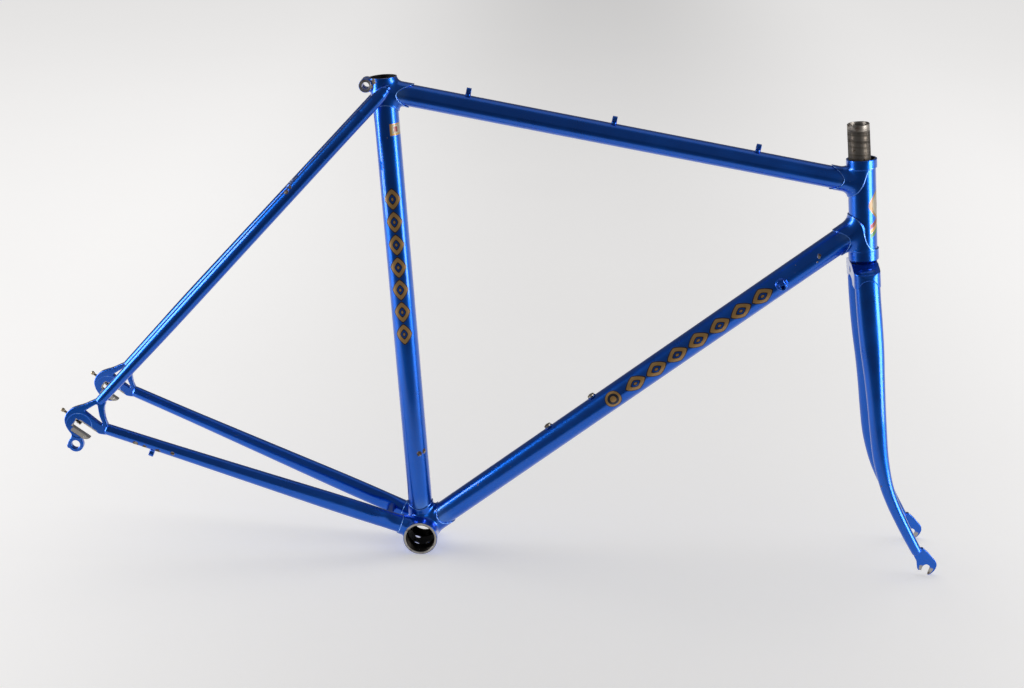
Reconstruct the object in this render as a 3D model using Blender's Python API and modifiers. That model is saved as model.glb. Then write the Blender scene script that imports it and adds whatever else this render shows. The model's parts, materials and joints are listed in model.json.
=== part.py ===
"""Lugged steel road-bicycle frame with its raked fork, standing on its bottom bracket shell and fork ends.

World axes: +X is the front of the frame, +Y its left side, +Z up. The floor is Z = 0 and the origin lies
under the middle of the whole piece. Lengths are in metres. Side-view places are (x, z) pairs measured from
the centre of the bottom bracket shell, and fork places are (drop, forward) pairs measured down and ahead of
the crown race seat.
"""

import math

import bmesh
import bpy
from mathutils import Matrix, Vector

# --- driving dimensions ---------------------------------------------------------------------------
GAP = 0.0003  # clearance between pieces that touch
TUBE_SIDES = 28
STAY_SIDES = 16
SMALL_SIDES = 16

SHELL_RADIUS = 0.0205
SHELL_BORE = 0.0173
SHELL_WIDTH = 0.068
BRACKET_X = -0.0993  # bottom bracket centre, behind the middle of the piece

SEAT_ANGLE = math.radians(85.7)
SEAT_LENGTH = 0.5364  # bracket centre to top tube centreline, along the seat tube
SEAT_LUG_TOP = 0.5525
HEAD_ANGLE = math.radians(84.9)
TOP_TUBE_LENGTH = 0.5510
TOP_TUBE_SLOPE = math.radians(-10.08)
DOWN_BELOW_TOP = 0.0491  # along the head tube, from the top tube centreline to the down tube's
HEAD_ABOVE = 0.0284
HEAD_BELOW = 0.0890
STEERER_LEAN = math.radians(1.0)  # the steerer rests against the back of the empty head tube

SEAT_RADIUS = 0.0143
DOWN_RADIUS = 0.0143
TOP_RADIUS = 0.0127
HEAD_RADIUS = 0.0159
HEAD_BORE = 0.0151
TUBE_WALL = 0.0009
LUG_WALL = 0.0010
RING_WALL = 0.0012

STEERER_RADIUS = 0.0127
STEERER_BORE = 0.0111
STEERER_TOP = 0.1575  # above the crown race seat

REAR_HALF = 0.0665  # middle of a rear dropout plate
DROPOUT_HALF_THICK = 0.0035
FORK_HALF = 0.0525  # middle of a fork end plate
FORK_END_HALF_THICK = 0.0025

CHAINSTAY_BB = (0.0, 0.0047)
CHAINSTAY_END = (-0.3615, 0.1433)
CHAINSTAY_BB_Y = 0.0195
SEATSTAY_END = (-0.3686, 0.1783)
SEATSTAY_TOP = (-0.0385, 0.5370)
SEATSTAY_TOP_Y = 0.0215
SEATSTAY_RADIUS = 0.0075

SLOT_ANGLE = math.radians(-35.5)
SLOT_END = (-0.3996, 0.1521)
SLOT_HALF = 0.0052
ADJUSTER_ANGLE = math.radians(-39.0)
ADJUSTER_START = (-0.4143, 0.1673)  # outer end of the screw
ADJUSTER_HEAD = 0.0258  # from the outer end to the screw head
ADJUSTER_HOLE = 0.0232  # from the outer end to the slot
HANGER_CENTRE = (-0.4000, 0.1247)
HANGER_RADIUS = 0.0092
HANGER_HOLE = 0.0050

BLADE_TOP_Y = 0.0315
AXLE = (0.3691, 0.0512)  # fork place of the front axle
FORK_SLOT = 0.0045

Y_AXIS = Vector((0.0, 1.0, 0.0))
BRACKET = Vector((BRACKET_X, 0.0, SHELL_RADIUS))
SEAT_DIR = Vector((-math.cos(SEAT_ANGLE), 0.0, math.sin(SEAT_ANGLE)))
HEAD_DIR = Vector((-math.cos(HEAD_ANGLE), 0.0, math.sin(HEAD_ANGLE)))
TOP_DIR = Vector((math.cos(TOP_TUBE_SLOPE), 0.0, math.sin(TOP_TUBE_SLOPE)))
SEAT_NODE = BRACKET + SEAT_DIR * SEAT_LENGTH
HEAD_NODE = SEAT_NODE + TOP_DIR * TOP_TUBE_LENGTH
DOWN_NODE = HEAD_NODE - HEAD_DIR * DOWN_BELOW_TOP
DOWN_DIR = (DOWN_NODE - BRACKET).normalized()
RACE_SEAT = HEAD_NODE - HEAD_DIR * HEAD_BELOW
FORK_ANGLE = HEAD_ANGLE - STEERER_LEAN
FORK_DIR = Vector((-math.cos(FORK_ANGLE), 0.0, math.sin(FORK_ANGLE)))
FORK_AHEAD = Vector((math.sin(FORK_ANGLE), 0.0, math.cos(FORK_ANGLE)))

SIDES = {"left": 1, "right": -1}
PAINT = (0.012, 0.06, 0.42, 1.0)
STEEL = (0.32, 0.30, 0.27, 1.0)
BRIGHT = (0.62, 0.60, 0.56, 1.0)


# --- places ---------------------------------------------------------------------------------------
def at(side_place, y=0.0):
    """World point of a side-view place measured from the bracket centre."""
    return BRACKET + Vector((side_place[0], y, side_place[1]))


def fork_at(drop, ahead, y=0.0):
    """World point of a place measured down and ahead of the crown race seat."""
    return RACE_SEAT - FORK_DIR * drop + FORK_AHEAD * ahead + Y_AXIS * y


def pose(origin, axis):
    """Matrix with local Z along an axis and local Y to the frame's left, or upwards about a sideways axis."""
    z = axis.normalized()
    side = Y_AXIS if abs(z.y) < 0.9 else Vector((0.0, 0.0, 1.0))
    y = (side - z * side.dot(z)).normalized()
    x = y.cross(z)
    return Matrix.Translation(origin) @ Matrix((x, y, z)).transposed().to_4x4()


def side_pose(origin, along):
    """Matrix with local X along a side-view direction, local Y square to it and local Z to the right."""
    x = along.normalized()
    z = -Y_AXIS
    y = z.cross(x)
    return Matrix.Translation(origin) @ Matrix((x, y, z)).transposed().to_4x4()


def arc(centre, radius, start, end, steps):
    """Points of an arc, angles in degrees."""
    points = []
    for i in range(steps + 1):
        angle = math.radians(start + (end - start) * i / steps)
        points.append((centre[0] + radius * math.cos(angle), centre[1] + radius * math.sin(angle)))
    return points


# --- scene and materials --------------------------------------------------------------------------
def clear_scene():
    for item in list(bpy.data.objects):
        bpy.data.objects.remove(item, do_unlink=True)


def new_collection(name):
    made = bpy.data.collections.new(name)
    bpy.context.scene.collection.children.link(made)
    return made


def new_material(name, colour, roughness, metallic):
    made = bpy.data.materials.new(name)
    made.use_nodes = True
    shader = made.node_tree.nodes["Principled BSDF"]
    shader.inputs["Base Color"].default_value = colour
    shader.inputs["Roughness"].default_value = roughness
    shader.inputs["Metallic"].default_value = metallic
    made.diffuse_color = colour
    return made


clear_scene()
PARTS = new_collection("bicycle_frame")
CUTTERS = new_collection("cutters")


def finish_part(item, name, colour=PAINT, roughness=0.3, metallic=0.6):
    """Name a piece, give it a material of its own and keep it among the parts."""
    item.name = name
    item.data.name = name
    item.data.materials.clear()
    item.data.materials.append(new_material(name + "_finish", colour, roughness, metallic))
    for holder in list(item.users_collection):
        holder.objects.unlink(item)
    PARTS.objects.link(item)
    return item


def as_cutter(item):
    item.hide_render = True
    item.display_type = "WIRE"
    return item


def new_object(name, mesh, matrix=None):
    made = bpy.data.objects.new(name, mesh)
    CUTTERS.objects.link(made)
    if matrix is not None:
        made.matrix_world = matrix
    return made


# --- shapes ---------------------------------------------------------------------------------------
def rod(name, start, end, radius, sides=TUBE_SIDES):
    """Solid cylinder between two points."""
    body = bmesh.new()
    length = (end - start).length
    bmesh.ops.create_cone(body, cap_ends=True, segments=sides, radius1=radius, radius2=radius, depth=length)
    mesh = bpy.data.meshes.new(name)
    body.to_mesh(mesh)
    body.free()
    return new_object(name, mesh, pose((start + end) / 2, end - start))


def block(name, centre, axis, size):
    """Solid box, its size given along local X, Y and Z of the axis pose."""
    body = bmesh.new()
    bmesh.ops.create_cube(body, size=1.0)
    bmesh.ops.scale(body, vec=size, verts=body.verts)
    mesh = bpy.data.meshes.new(name)
    body.to_mesh(mesh)
    body.free()
    return new_object(name, mesh, pose(centre, axis))


def turned(name, profile, matrix, sides=TUBE_SIDES, ring=False):
    """Shape turned about local Z from (radius, height) points that run down its outer side."""
    edges = [(i, i + 1) for i in range(len(profile) - 1)]
    if ring:
        edges.append((len(profile) - 1, 0))
    mesh = bpy.data.meshes.new(name)
    mesh.from_pydata([(radius, 0.0, height) for radius, height in profile], edges, [])
    made = new_object(name, mesh, matrix)
    screw = made.modifiers.new("turn", "SCREW")
    screw.steps = screw.render_steps = sides
    screw.use_merge_vertices = True
    screw.merge_threshold = 0.00001
    return made


def pipe(name, start, end, outer, inner, sides=TUBE_SIDES):
    """Open tube between two points."""
    length = (end - start).length
    profile = [(outer, length), (outer, 0.0), (inner, 0.0), (inner, length)]
    return turned(name, profile, pose(start, end - start), sides, ring=True)


def plate(name, outline, half_thick, matrix):
    """Flat outline given thickness along its local Z."""
    curve = bpy.data.curves.new(name, "CURVE")
    curve.dimensions = "2D"
    curve.fill_mode = "BOTH"
    curve.extrude = half_thick
    spline = curve.splines.new("POLY")
    spline.points.add(len(outline) - 1)
    for point, (x, y) in zip(spline.points, outline):
        point.co = (x, y, 0.0, 1.0)
    spline.use_cyclic_u = True
    flat = new_object(name + "_outline", curve, matrix)
    bpy.context.view_layer.update()
    evaluated = flat.evaluated_get(bpy.context.evaluated_depsgraph_get())
    mesh = bpy.data.meshes.new_from_object(evaluated)
    body = bmesh.new()
    body.from_mesh(mesh)
    bmesh.ops.remove_doubles(body, verts=body.verts, dist=0.00001)
    bmesh.ops.recalc_face_normals(body, faces=body.faces)
    body.to_mesh(mesh)
    body.free()
    bpy.data.objects.remove(flat, do_unlink=True)
    return new_object(name, mesh, matrix)


def loft(name, stations, sides=STAY_SIDES, wall=None):
    """Tube through stations of (centre, radius in the frame's plane, radius across it), open when it has a wall."""
    centres = [station[0] for station in stations]
    vertices = []
    layers = [0.0] if wall is None else [0.0, wall]
    for inset in layers:
        for i, (centre, tall, across) in enumerate(stations):
            before = centres[max(i - 1, 0)]
            after = centres[min(i + 1, len(centres) - 1)]
            path = after - before
            path.y = 0.0
            normal = Y_AXIS.cross(path.normalized())
            for k in range(sides):
                angle = 2 * math.pi * k / sides
                offset = normal * (tall - inset) * math.cos(angle) + Y_AXIS * (across - inset) * math.sin(angle)
                vertices.append(centre + offset)
    faces = []
    rings = len(stations)
    for layer in range(len(layers)):
        base = layer * rings * sides
        for i in range(rings - 1):
            for k in range(sides):
                low = base + i * sides
                face = (low + k, low + (k + 1) % sides, low + sides + (k + 1) % sides, low + sides + k)
                faces.append(face if layer == 0 else face[::-1])
    for end in (0, rings - 1):
        first = end * sides
        if wall is None:
            cap = tuple(first + k for k in range(sides))
            faces.append(cap[::-1] if end == 0 else cap)
            continue
        inner = (rings + end) * sides
        for k in range(sides):
            after = (k + 1) % sides
            face = (first + k, inner + k, inner + after, first + after)
            faces.append(face if end == 0 else face[::-1])
    mesh = bpy.data.meshes.new(name)
    mesh.from_pydata(vertices, [], faces)
    body = bmesh.new()
    body.from_mesh(mesh)
    bmesh.ops.recalc_face_normals(body, faces=body.faces)
    body.to_mesh(mesh)
    body.free()
    return new_object(name, mesh)


def boolean(item, tool, operation):
    step = item.modifiers.new(operation.lower(), "BOOLEAN")
    step.operation = operation
    step.solver = "EXACT"
    step.object = as_cutter(tool)


def join(item, *tools):
    for tool in tools:
        boolean(item, tool, "UNION")
    return item


def cut(item, *tools):
    for tool in tools:
        boolean(item, tool, "DIFFERENCE")
    return item


def trim(item, tool):
    boolean(item, tool, "INTERSECT")
    return item


# --- main tubes -----------------------------------------------------------------------------------
def seat_rod(name, low, high, radius):
    return rod(name, BRACKET + SEAT_DIR * low, BRACKET + SEAT_DIR * high, radius)


def head_rod(name, low, high, radius):
    return rod(name, HEAD_NODE + HEAD_DIR * low, HEAD_NODE + HEAD_DIR * high, radius)


def top_rod(name, low, high, radius):
    return rod(name, SEAT_NODE + TOP_DIR * low, SEAT_NODE + TOP_DIR * high, radius)


def down_rod(name, low, high, radius):
    return rod(name, BRACKET + DOWN_DIR * low, BRACKET + DOWN_DIR * high, radius)


TUBE_START = 0.0215  # the main tubes start just outside the bracket shell's bore
BOTTLE_PLACES = {"lower": 0.2021, "upper": 0.2661}  # 64 mm apart along the down tube
BOSS_HOLE = 0.0037
DOWN_UP = Vector((-DOWN_DIR.z, 0.0, DOWN_DIR.x))  # square to the down tube, towards the top tube
TOP_UP = Vector((-TOP_DIR.z, 0.0, TOP_DIR.x))


def make_main_tubes():
    seat = pipe("seat_tube", BRACKET + SEAT_DIR * TUBE_START, BRACKET + SEAT_DIR * (SEAT_LUG_TOP - 0.003),
                SEAT_RADIUS, SEAT_RADIUS - TUBE_WALL)
    finish_part(seat, "seat_tube")

    top = pipe("top_tube", SEAT_NODE, HEAD_NODE, TOP_RADIUS, TOP_RADIUS - TUBE_WALL)
    cut(top, seat_rod("top_tube_rear_mitre", 0.50, 0.58, SEAT_RADIUS + GAP))
    cut(top, head_rod("top_tube_front_mitre", -0.05, 0.05, HEAD_RADIUS + GAP))
    finish_part(top, "top_tube")

    down = pipe("down_tube", BRACKET + DOWN_DIR * TUBE_START, DOWN_NODE, DOWN_RADIUS, DOWN_RADIUS - TUBE_WALL)
    cut(down, seat_rod("down_tube_rear_mitre", 0.01, 0.06, SEAT_RADIUS + GAP))
    cut(down, head_rod("down_tube_front_mitre", -0.10, 0.01, HEAD_RADIUS + GAP))
    for name, along in BOTTLE_PLACES.items():
        place = BRACKET + DOWN_DIR * along
        cut(down, rod("boss_hole_" + name, place + DOWN_UP * 0.008, place + DOWN_UP * 0.02, BOSS_HOLE, SMALL_SIDES))
    finish_part(down, "down_tube")

    head = pipe("head_tube", HEAD_NODE - HEAD_DIR * HEAD_BELOW, HEAD_NODE + HEAD_DIR * HEAD_ABOVE,
                HEAD_RADIUS, HEAD_BORE)
    finish_part(head, "head_tube")


# --- lugs -----------------------------------------------------------------------------------------
LUG_HALF_SPAN = 0.03  # half width of the blocks that trim a lug to its side-view outline


def scallop(side_reach, low_reach, high_reach, radius, steps=8):
    """Concave end line of a socket: shallow at its sides and pointed below and above, as (along, up) points."""
    points = []
    for i in range(steps + 1):
        up = -radius + 2 * radius * i / steps
        share = abs(up) / radius
        reach = high_reach if up > 0 else low_reach
        points.append((side_reach + (reach - side_reach) * share ** 2, up))
    return points


def scalloped_socket(name, start, direction, radius, side_reach, low_reach, high_reach, root=0.0):
    """Socket sleeve about a tube, as a solid rod whose far end is trimmed to a scallop."""
    longest = max(low_reach, high_reach)
    sleeve = rod(name, start + direction * root, start + direction * (longest + 0.001), radius)
    edge = scallop(side_reach, low_reach, high_reach, radius + 0.0005)
    outline = [(-0.03, -0.03)] + [(side_reach, -0.03)] + edge + [(side_reach, 0.03), (-0.03, 0.03)]
    trim(sleeve, plate(name + "_edge", outline, LUG_HALF_SPAN, side_pose(start, direction)))
    return sleeve


def make_upper_head_lug():
    """Ring round the head tube's top, a wrap behind a curved edge and a socket for the top tube."""
    lug = head_rod("upper_head_lug", 0.0180, HEAD_ABOVE, HEAD_RADIUS + GAP + RING_WALL)
    wrap = head_rod("upper_wrap", -0.0170, 0.0185, HEAD_RADIUS + GAP + LUG_WALL)
    edge = [(0.0180, 0.0200), (0.0080, 0.0185), (0.0050, 0.0150), (0.0025, 0.0090), (-0.0005, 0.0025),
            (-0.0035, -0.0030), (-0.0070, -0.0080), (-0.0110, -0.0115), (-0.0150, -0.0140), (-0.0200, -0.0160)]
    outline = edge + [(-0.03, -0.0160), (-0.03, 0.0300), (0.0180, 0.0300)]
    matrix = side_pose(HEAD_NODE, Vector((HEAD_DIR.z, 0.0, -HEAD_DIR.x)))
    trim(wrap, plate("upper_wrap_edge", outline, LUG_HALF_SPAN, matrix))
    socket = scalloped_socket("upper_socket", HEAD_NODE, -TOP_DIR, TOP_RADIUS + GAP + LUG_WALL,
                              0.0225, 0.0410, 0.0370)
    join(lug, wrap, socket)
    cut(lug, head_rod("upper_lug_bore", -0.05, 0.05, HEAD_RADIUS + GAP))
    cut(lug, rod("upper_socket_bore", HEAD_NODE, HEAD_NODE - TOP_DIR * 0.08, TOP_RADIUS + GAP))
    finish_part(lug, "upper_head_lug")


def make_lower_head_lug():
    """Ring round the head tube's foot, a wrap behind a curved edge and a socket for the down tube."""
    lug = head_rod("lower_head_lug", -HEAD_BELOW, -0.0760, HEAD_RADIUS + GAP + RING_WALL)
    wrap = head_rod("lower_wrap", -0.0770, -0.0300, HEAD_RADIUS + GAP + LUG_WALL)
    edge = [(-0.0200, -0.0340), (-0.0140, -0.0355), (-0.0090, -0.0380), (-0.0050, -0.0440), (-0.0025, -0.0520),
            (0.0000, -0.0610), (0.0030, -0.0690), (0.0075, -0.0750), (0.0180, -0.0760)]
    outline = [(-0.04, -0.0340)] + edge + [(0.0180, -0.0900), (-0.04, -0.0900)]
    matrix = side_pose(HEAD_NODE, Vector((HEAD_DIR.z, 0.0, -HEAD_DIR.x)))
    trim(wrap, plate("lower_wrap_edge", outline, LUG_HALF_SPAN, matrix))
    socket = scalloped_socket("lower_socket", DOWN_NODE, -DOWN_DIR, DOWN_RADIUS + GAP + LUG_WALL,
                              0.0210, 0.0330, 0.0425)
    join(lug, wrap, socket)
    cut(lug, head_rod("lower_lug_bore", -0.12, 0.0, HEAD_RADIUS + GAP))
    cut(lug, rod("lower_socket_bore", DOWN_NODE, DOWN_NODE - DOWN_DIR * 0.09, DOWN_RADIUS + GAP))
    finish_part(lug, "lower_head_lug")


BINDER_ALONG = 0.5443
BINDER_BACK = 0.0196
BINDER_RADIUS = 0.0083
BINDER_HOLE = 0.0042
BINDER_HALF = 0.0105
BINDER_SLOT = 0.0028


def make_seat_lug():
    """Sleeve round the seat tube's top with a top tube socket and two split binder ears behind."""
    sleeve_radius = SEAT_RADIUS + GAP + LUG_WALL
    lug = seat_rod("seat_lug", 0.5080, SEAT_LUG_TOP, sleeve_radius)
    edge = [(-0.0170, 0.5090), (-0.0130, 0.5160), (-0.0070, 0.5203), (0.0, 0.5215), (0.0070, 0.5203),
            (0.0130, 0.5160), (0.0170, 0.5090)]
    outline = [(x, along - SEAT_LENGTH) for x, along in edge] + [(0.017, 0.03), (-0.017, 0.03)]
    ahead = Vector((SEAT_DIR.z, 0.0, -SEAT_DIR.x))
    trim(lug, plate("seat_lug_edge", outline, LUG_HALF_SPAN, side_pose(SEAT_NODE, ahead)))
    socket = scalloped_socket("seat_socket", SEAT_NODE, TOP_DIR, TOP_RADIUS + GAP + LUG_WALL,
                              0.0150, 0.0330, 0.0350)
    ear_centre = BRACKET + SEAT_DIR * BINDER_ALONG - ahead * BINDER_BACK
    ears = rod("binder_ears", ear_centre - Y_AXIS * BINDER_HALF, ear_centre + Y_AXIS * BINDER_HALF, BINDER_RADIUS)
    join(lug, socket, ears)
    cut(lug, seat_rod("seat_lug_bore", 0.49, 0.58, SEAT_RADIUS + GAP))
    cut(lug, rod("seat_socket_bore", SEAT_NODE, SEAT_NODE + TOP_DIR * 0.07, TOP_RADIUS + GAP))
    cut(lug, rod("binder_hole", ear_centre - Y_AXIS * 0.03, ear_centre + Y_AXIS * 0.03, BINDER_HOLE))
    slot_centre = BRACKET + SEAT_DIR * 0.5445 - ahead * 0.020
    cut(lug, block("binder_slot", slot_centre, SEAT_DIR, (0.026, BINDER_SLOT, 0.036)))
    finish_part(lug, "seat_lug")


def bracket_socket(name, direction, radius, side_reach, low_reach, high_reach):
    return scalloped_socket(name, BRACKET, direction, radius, side_reach, low_reach, high_reach, root=0.010)


WINDOW_RADIUS = 0.0031
WINDOW_STRETCH = 1.35  # across the frame
WINDOW_DEPTH = 0.03
WINDOW_PLACES = ((-0.0070, 0.0110), (-0.0070, -0.0080), (0.0085, -0.0080))


def make_bracket_shell():
    """Threaded shell with sockets for the seat tube, the down tube and both chainstays."""
    half = Y_AXIS * (SHELL_WIDTH / 2)
    shell = rod("bottom_bracket_shell", BRACKET - half, BRACKET + half, SHELL_RADIUS, 40)
    socket_radius = SEAT_RADIUS + GAP + LUG_WALL
    join(shell, bracket_socket("bracket_seat_socket", SEAT_DIR, socket_radius, 0.0300, 0.0370, 0.0370))
    join(shell, bracket_socket("bracket_down_socket", DOWN_DIR, socket_radius, 0.0265, 0.0400, 0.0370))
    for side, sign in SIDES.items():
        join(shell, rod("bracket_stay_socket_" + side, chainstay_point(0.006, sign), chainstay_point(0.0275, sign),
                        CHAINSTAY_ROOT + GAP + LUG_WALL, 24))
    cut(shell, rod("shell_bore", BRACKET - half * 2, BRACKET + half * 2, SHELL_BORE, 40))
    cut(shell, seat_rod("shell_seat_bore", 0.004, 0.06, SEAT_RADIUS + GAP))
    cut(shell, down_rod("shell_down_bore", 0.004, 0.06, DOWN_RADIUS + GAP))
    for side, sign in SIDES.items():
        cut(shell, rod("shell_stay_bore_" + side, chainstay_point(0.002, sign), chainstay_point(0.05, sign),
                       CHAINSTAY_ROOT + GAP, 24))
    for i, (x, y) in enumerate(WINDOW_PLACES):
        place = BRACKET + Vector((x, y, 0.0))
        low, high = place - Vector((0, 0, WINDOW_DEPTH)), place - Vector((0, 0, WINDOW_DEPTH / 3))
        hole = rod("shell_window_%d" % i, low, high, WINDOW_RADIUS, SMALL_SIDES)
        hole.scale = (1.0, WINDOW_STRETCH, 1.0)
        cut(shell, hole)
    finish_part(shell, "bottom_bracket_shell")


# --- rear triangle --------------------------------------------------------------------------------
CHAINSTAY_ROOT = 0.0108
CHAINSTAY_START = 0.0235
CHAINSTAY_LINE = Vector((CHAINSTAY_END[0] - CHAINSTAY_BB[0], REAR_HALF - CHAINSTAY_BB_Y,
                         CHAINSTAY_END[1] - CHAINSTAY_BB[1]))
SEATSTAY_LINE = Vector((SEATSTAY_TOP[0] - SEATSTAY_END[0], SEATSTAY_TOP_Y - REAR_HALF,
                        SEATSTAY_TOP[1] - SEATSTAY_END[1]))
SEATSTAY_CAP_START = SEATSTAY_LINE.length - 0.034


def chainstay_point(distance, sign):
    share = distance / CHAINSTAY_LINE.length
    return at((CHAINSTAY_BB[0] + CHAINSTAY_LINE.x * share, CHAINSTAY_BB[1] + CHAINSTAY_LINE.z * share),
              sign * (CHAINSTAY_BB_Y + CHAINSTAY_LINE.y * share))


def seatstay_point(distance, sign):
    share = distance / SEATSTAY_LINE.length
    return at((SEATSTAY_END[0] + SEATSTAY_LINE.x * share, SEATSTAY_END[1] + SEATSTAY_LINE.z * share),
              sign * (REAR_HALF + SEATSTAY_LINE.y * share))


def make_chainstay(side, sign):
    """Stay that is round at the bracket, oval beside the wheel and thin at the dropout."""
    sizes = [(CHAINSTAY_START, CHAINSTAY_ROOT, CHAINSTAY_ROOT), (0.045, 0.0109, 0.0104), (0.080, 0.0112, 0.0085),
             (0.120, 0.0108, 0.0085), (0.180, 0.0096, 0.0088), (0.250, 0.0083, 0.0082), (0.320, 0.0072, 0.0071),
             (CHAINSTAY_LINE.length, 0.0067, 0.0067)]
    stations = [(chainstay_point(along, sign), tall, across) for along, tall, across in sizes]
    finish_part(loft("chainstay_" + side, stations, wall=TUBE_WALL), "chainstay_" + side)


def make_seatstay(side, sign):
    sizes = [(0.0, 0.0057), (0.060, 0.0066), (0.130, SEATSTAY_RADIUS), (SEATSTAY_CAP_START, SEATSTAY_RADIUS)]
    stations = [(seatstay_point(along, sign), radius, radius) for along, radius in sizes]
    finish_part(loft("seatstay_" + side, stations, wall=TUBE_WALL), "seatstay_" + side)


def make_seatstay_cap(side, sign):
    """Long rounded cap that closes a seat stay and lies along the side of the seat lug."""
    start = SEATSTAY_CAP_START + GAP
    sizes = [(0.0, 0.0075, 0.0075), (0.014, 0.0075, 0.0074), (0.024, 0.0073, 0.0068), (0.032, 0.0066, 0.0057),
             (0.038, 0.0050, 0.0042), (0.0415, 0.0026, 0.0024)]
    stations = [(seatstay_point(start + along, sign) - Y_AXIS * sign * (0.0075 - across) * 0.8, tall, across)
                for along, tall, across in sizes]
    cap = loft("seatstay_cap_" + side, stations)
    cut(cap, seat_rod("cap_cutter_" + side, 0.49, 0.58, SEAT_RADIUS + 2 * GAP + LUG_WALL))
    cut(cap, rod("cap_socket_cutter_" + side, SEAT_NODE, SEAT_NODE + TOP_DIR * 0.05, TOP_RADIUS + 2 * GAP + LUG_WALL))
    finish_part(cap, "seatstay_cap_" + side)


BRAKE_BRIDGE_ALONG = 0.331  # from the lower end of the seat stays
BRAKE_BRIDGE_RADIUS = 0.0052
BRAKE_BOSS_RADIUS = 0.0068
BRAKE_BOSS_HALF = 0.0075
BRAKE_BOLT_RADIUS = 0.0031
CHAINSTAY_BRIDGE_ALONG = 0.043  # from the bracket end of the chainstays
CHAINSTAY_BRIDGE_RADIUS = 0.0050
CHAINSTAY_BRIDGE_BORE = 0.0040


def make_bridges():
    """Brake bridge with its drilled boss between the seat stays, and the plain bridge between the chainstays."""
    along = BRAKE_BRIDGE_ALONG
    middle = (seatstay_point(along, 1) + seatstay_point(along, -1)) / 2
    half = Y_AXIS * 0.034
    bridge = rod("brake_bridge", middle - half, middle + half, BRAKE_BRIDGE_RADIUS, STAY_SIDES)
    boss_axis = SEATSTAY_LINE.cross(Y_AXIS).normalized()
    reach = boss_axis * BRAKE_BOSS_HALF
    join(bridge, rod("bridge_boss", middle - reach, middle + reach, BRAKE_BOSS_RADIUS, STAY_SIDES))
    cut(bridge, rod("bridge_hole", middle - reach * 2, middle + reach * 2, BRAKE_BOLT_RADIUS, SMALL_SIDES))
    for side, sign in SIDES.items():
        cut(bridge, rod("bridge_mitre_" + side, seatstay_point(along - 0.03, sign),
                        seatstay_point(along + 0.03, sign), SEATSTAY_RADIUS + GAP))
    finish_part(bridge, "brake_bridge")

    along = CHAINSTAY_BRIDGE_ALONG
    middle = (chainstay_point(along, 1) + chainstay_point(along, -1)) / 2
    narrow_end = chainstay_point(along - CHAINSTAY_BRIDGE_RADIUS, 1).y
    half = Y_AXIS * (narrow_end - CHAINSTAY_ROOT - GAP)
    lower = pipe("chainstay_bridge", middle - half, middle + half, CHAINSTAY_BRIDGE_RADIUS,
                 CHAINSTAY_BRIDGE_BORE, STAY_SIDES)
    finish_part(lower, "chainstay_bridge")


# --- rear dropouts --------------------------------------------------------------------------------
SLOT_DIR = Vector((math.cos(SLOT_ANGLE), 0.0, math.sin(SLOT_ANGLE)))
ADJUSTER_DIR = Vector((math.cos(ADJUSTER_ANGLE), 0.0, math.sin(ADJUSTER_ANGLE)))
END_CLEAR = 0.0003


def dropout_outline(with_hanger):
    """Side-view outline of a dropout plate, clockwise from the seat stay, in bracket coordinates."""
    stay = Vector((SEATSTAY_LINE.x, SEATSTAY_LINE.z)).normalized()
    chain = Vector((CHAINSTAY_LINE.x, CHAINSTAY_LINE.z)).normalized()
    stay_end = Vector(SEATSTAY_END) - stay * END_CLEAR
    chain_end = Vector(CHAINSTAY_END) + chain * END_CLEAR
    stay_across = Vector((-stay.y, stay.x))
    chain_across = Vector((-chain.y, chain.x))
    back = [(-0.3785, 0.1785), (-0.3880, 0.1740), (-0.3970, 0.1713), (-0.4035, 0.1685), (-0.4080, 0.1640),
            (-0.4108, 0.1590), (-0.4117, 0.1540), (-0.4105, 0.1475), (-0.4075, 0.1415), (-0.4040, 0.1370)]
    if with_hanger:
        foot = arc(HANGER_CENTRE, HANGER_RADIUS, 118, 400, 20) + [(-0.3905, 0.1320)]
    else:
        foot = [(-0.4000, 0.1335), (-0.3945, 0.1312)]
    jaws = [(-0.3865, 0.1312), (-0.3833, 0.1322), (-0.3812, 0.1345)]
    slot = slot_outline()
    front = [(-0.3750, 0.1408), (-0.3700, 0.1392)]
    end_low = chain_end + chain_across * 0.0056
    end_high = chain_end - chain_across * 0.0056
    web = [(-0.3626, 0.1545), (-0.3637, 0.1605), (-0.3640, 0.1660)]
    corners = [tuple(stay_end - stay_across * -0.0055)] + back + foot + jaws + slot + front
    return corners + [tuple(end_low), tuple(end_high)] + web + [tuple(stay_end + stay_across * -0.0055)]


def slot_outline():
    """The axle slot, from its lower lip round the closed end to its upper lip."""
    along = Vector((SLOT_DIR.x, SLOT_DIR.z))
    across = Vector((-along.y, along.x))
    end = Vector(SLOT_END)
    corner = 0.0014
    places = [(0.0230, -SLOT_HALF), (corner, -SLOT_HALF), (0.0004, -SLOT_HALF + 0.0004), (0.0, -SLOT_HALF + corner),
              (0.0, SLOT_HALF - corner), (0.0004, SLOT_HALF - 0.0004), (corner, SLOT_HALF), (0.0265, SLOT_HALF)]
    return [tuple(end + along * u + across * v) for u, v in places]


def window_outline():
    """Triangular window between the stays."""
    return [(-0.3868, 0.1655), (-0.3872, 0.1662), (-0.3862, 0.1668), (-0.3738, 0.1745), (-0.3722, 0.1748),
            (-0.3712, 0.1738), (-0.3708, 0.1680), (-0.3698, 0.1600), (-0.3665, 0.1515), (-0.3668, 0.1498),
            (-0.3688, 0.1500)]


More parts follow.
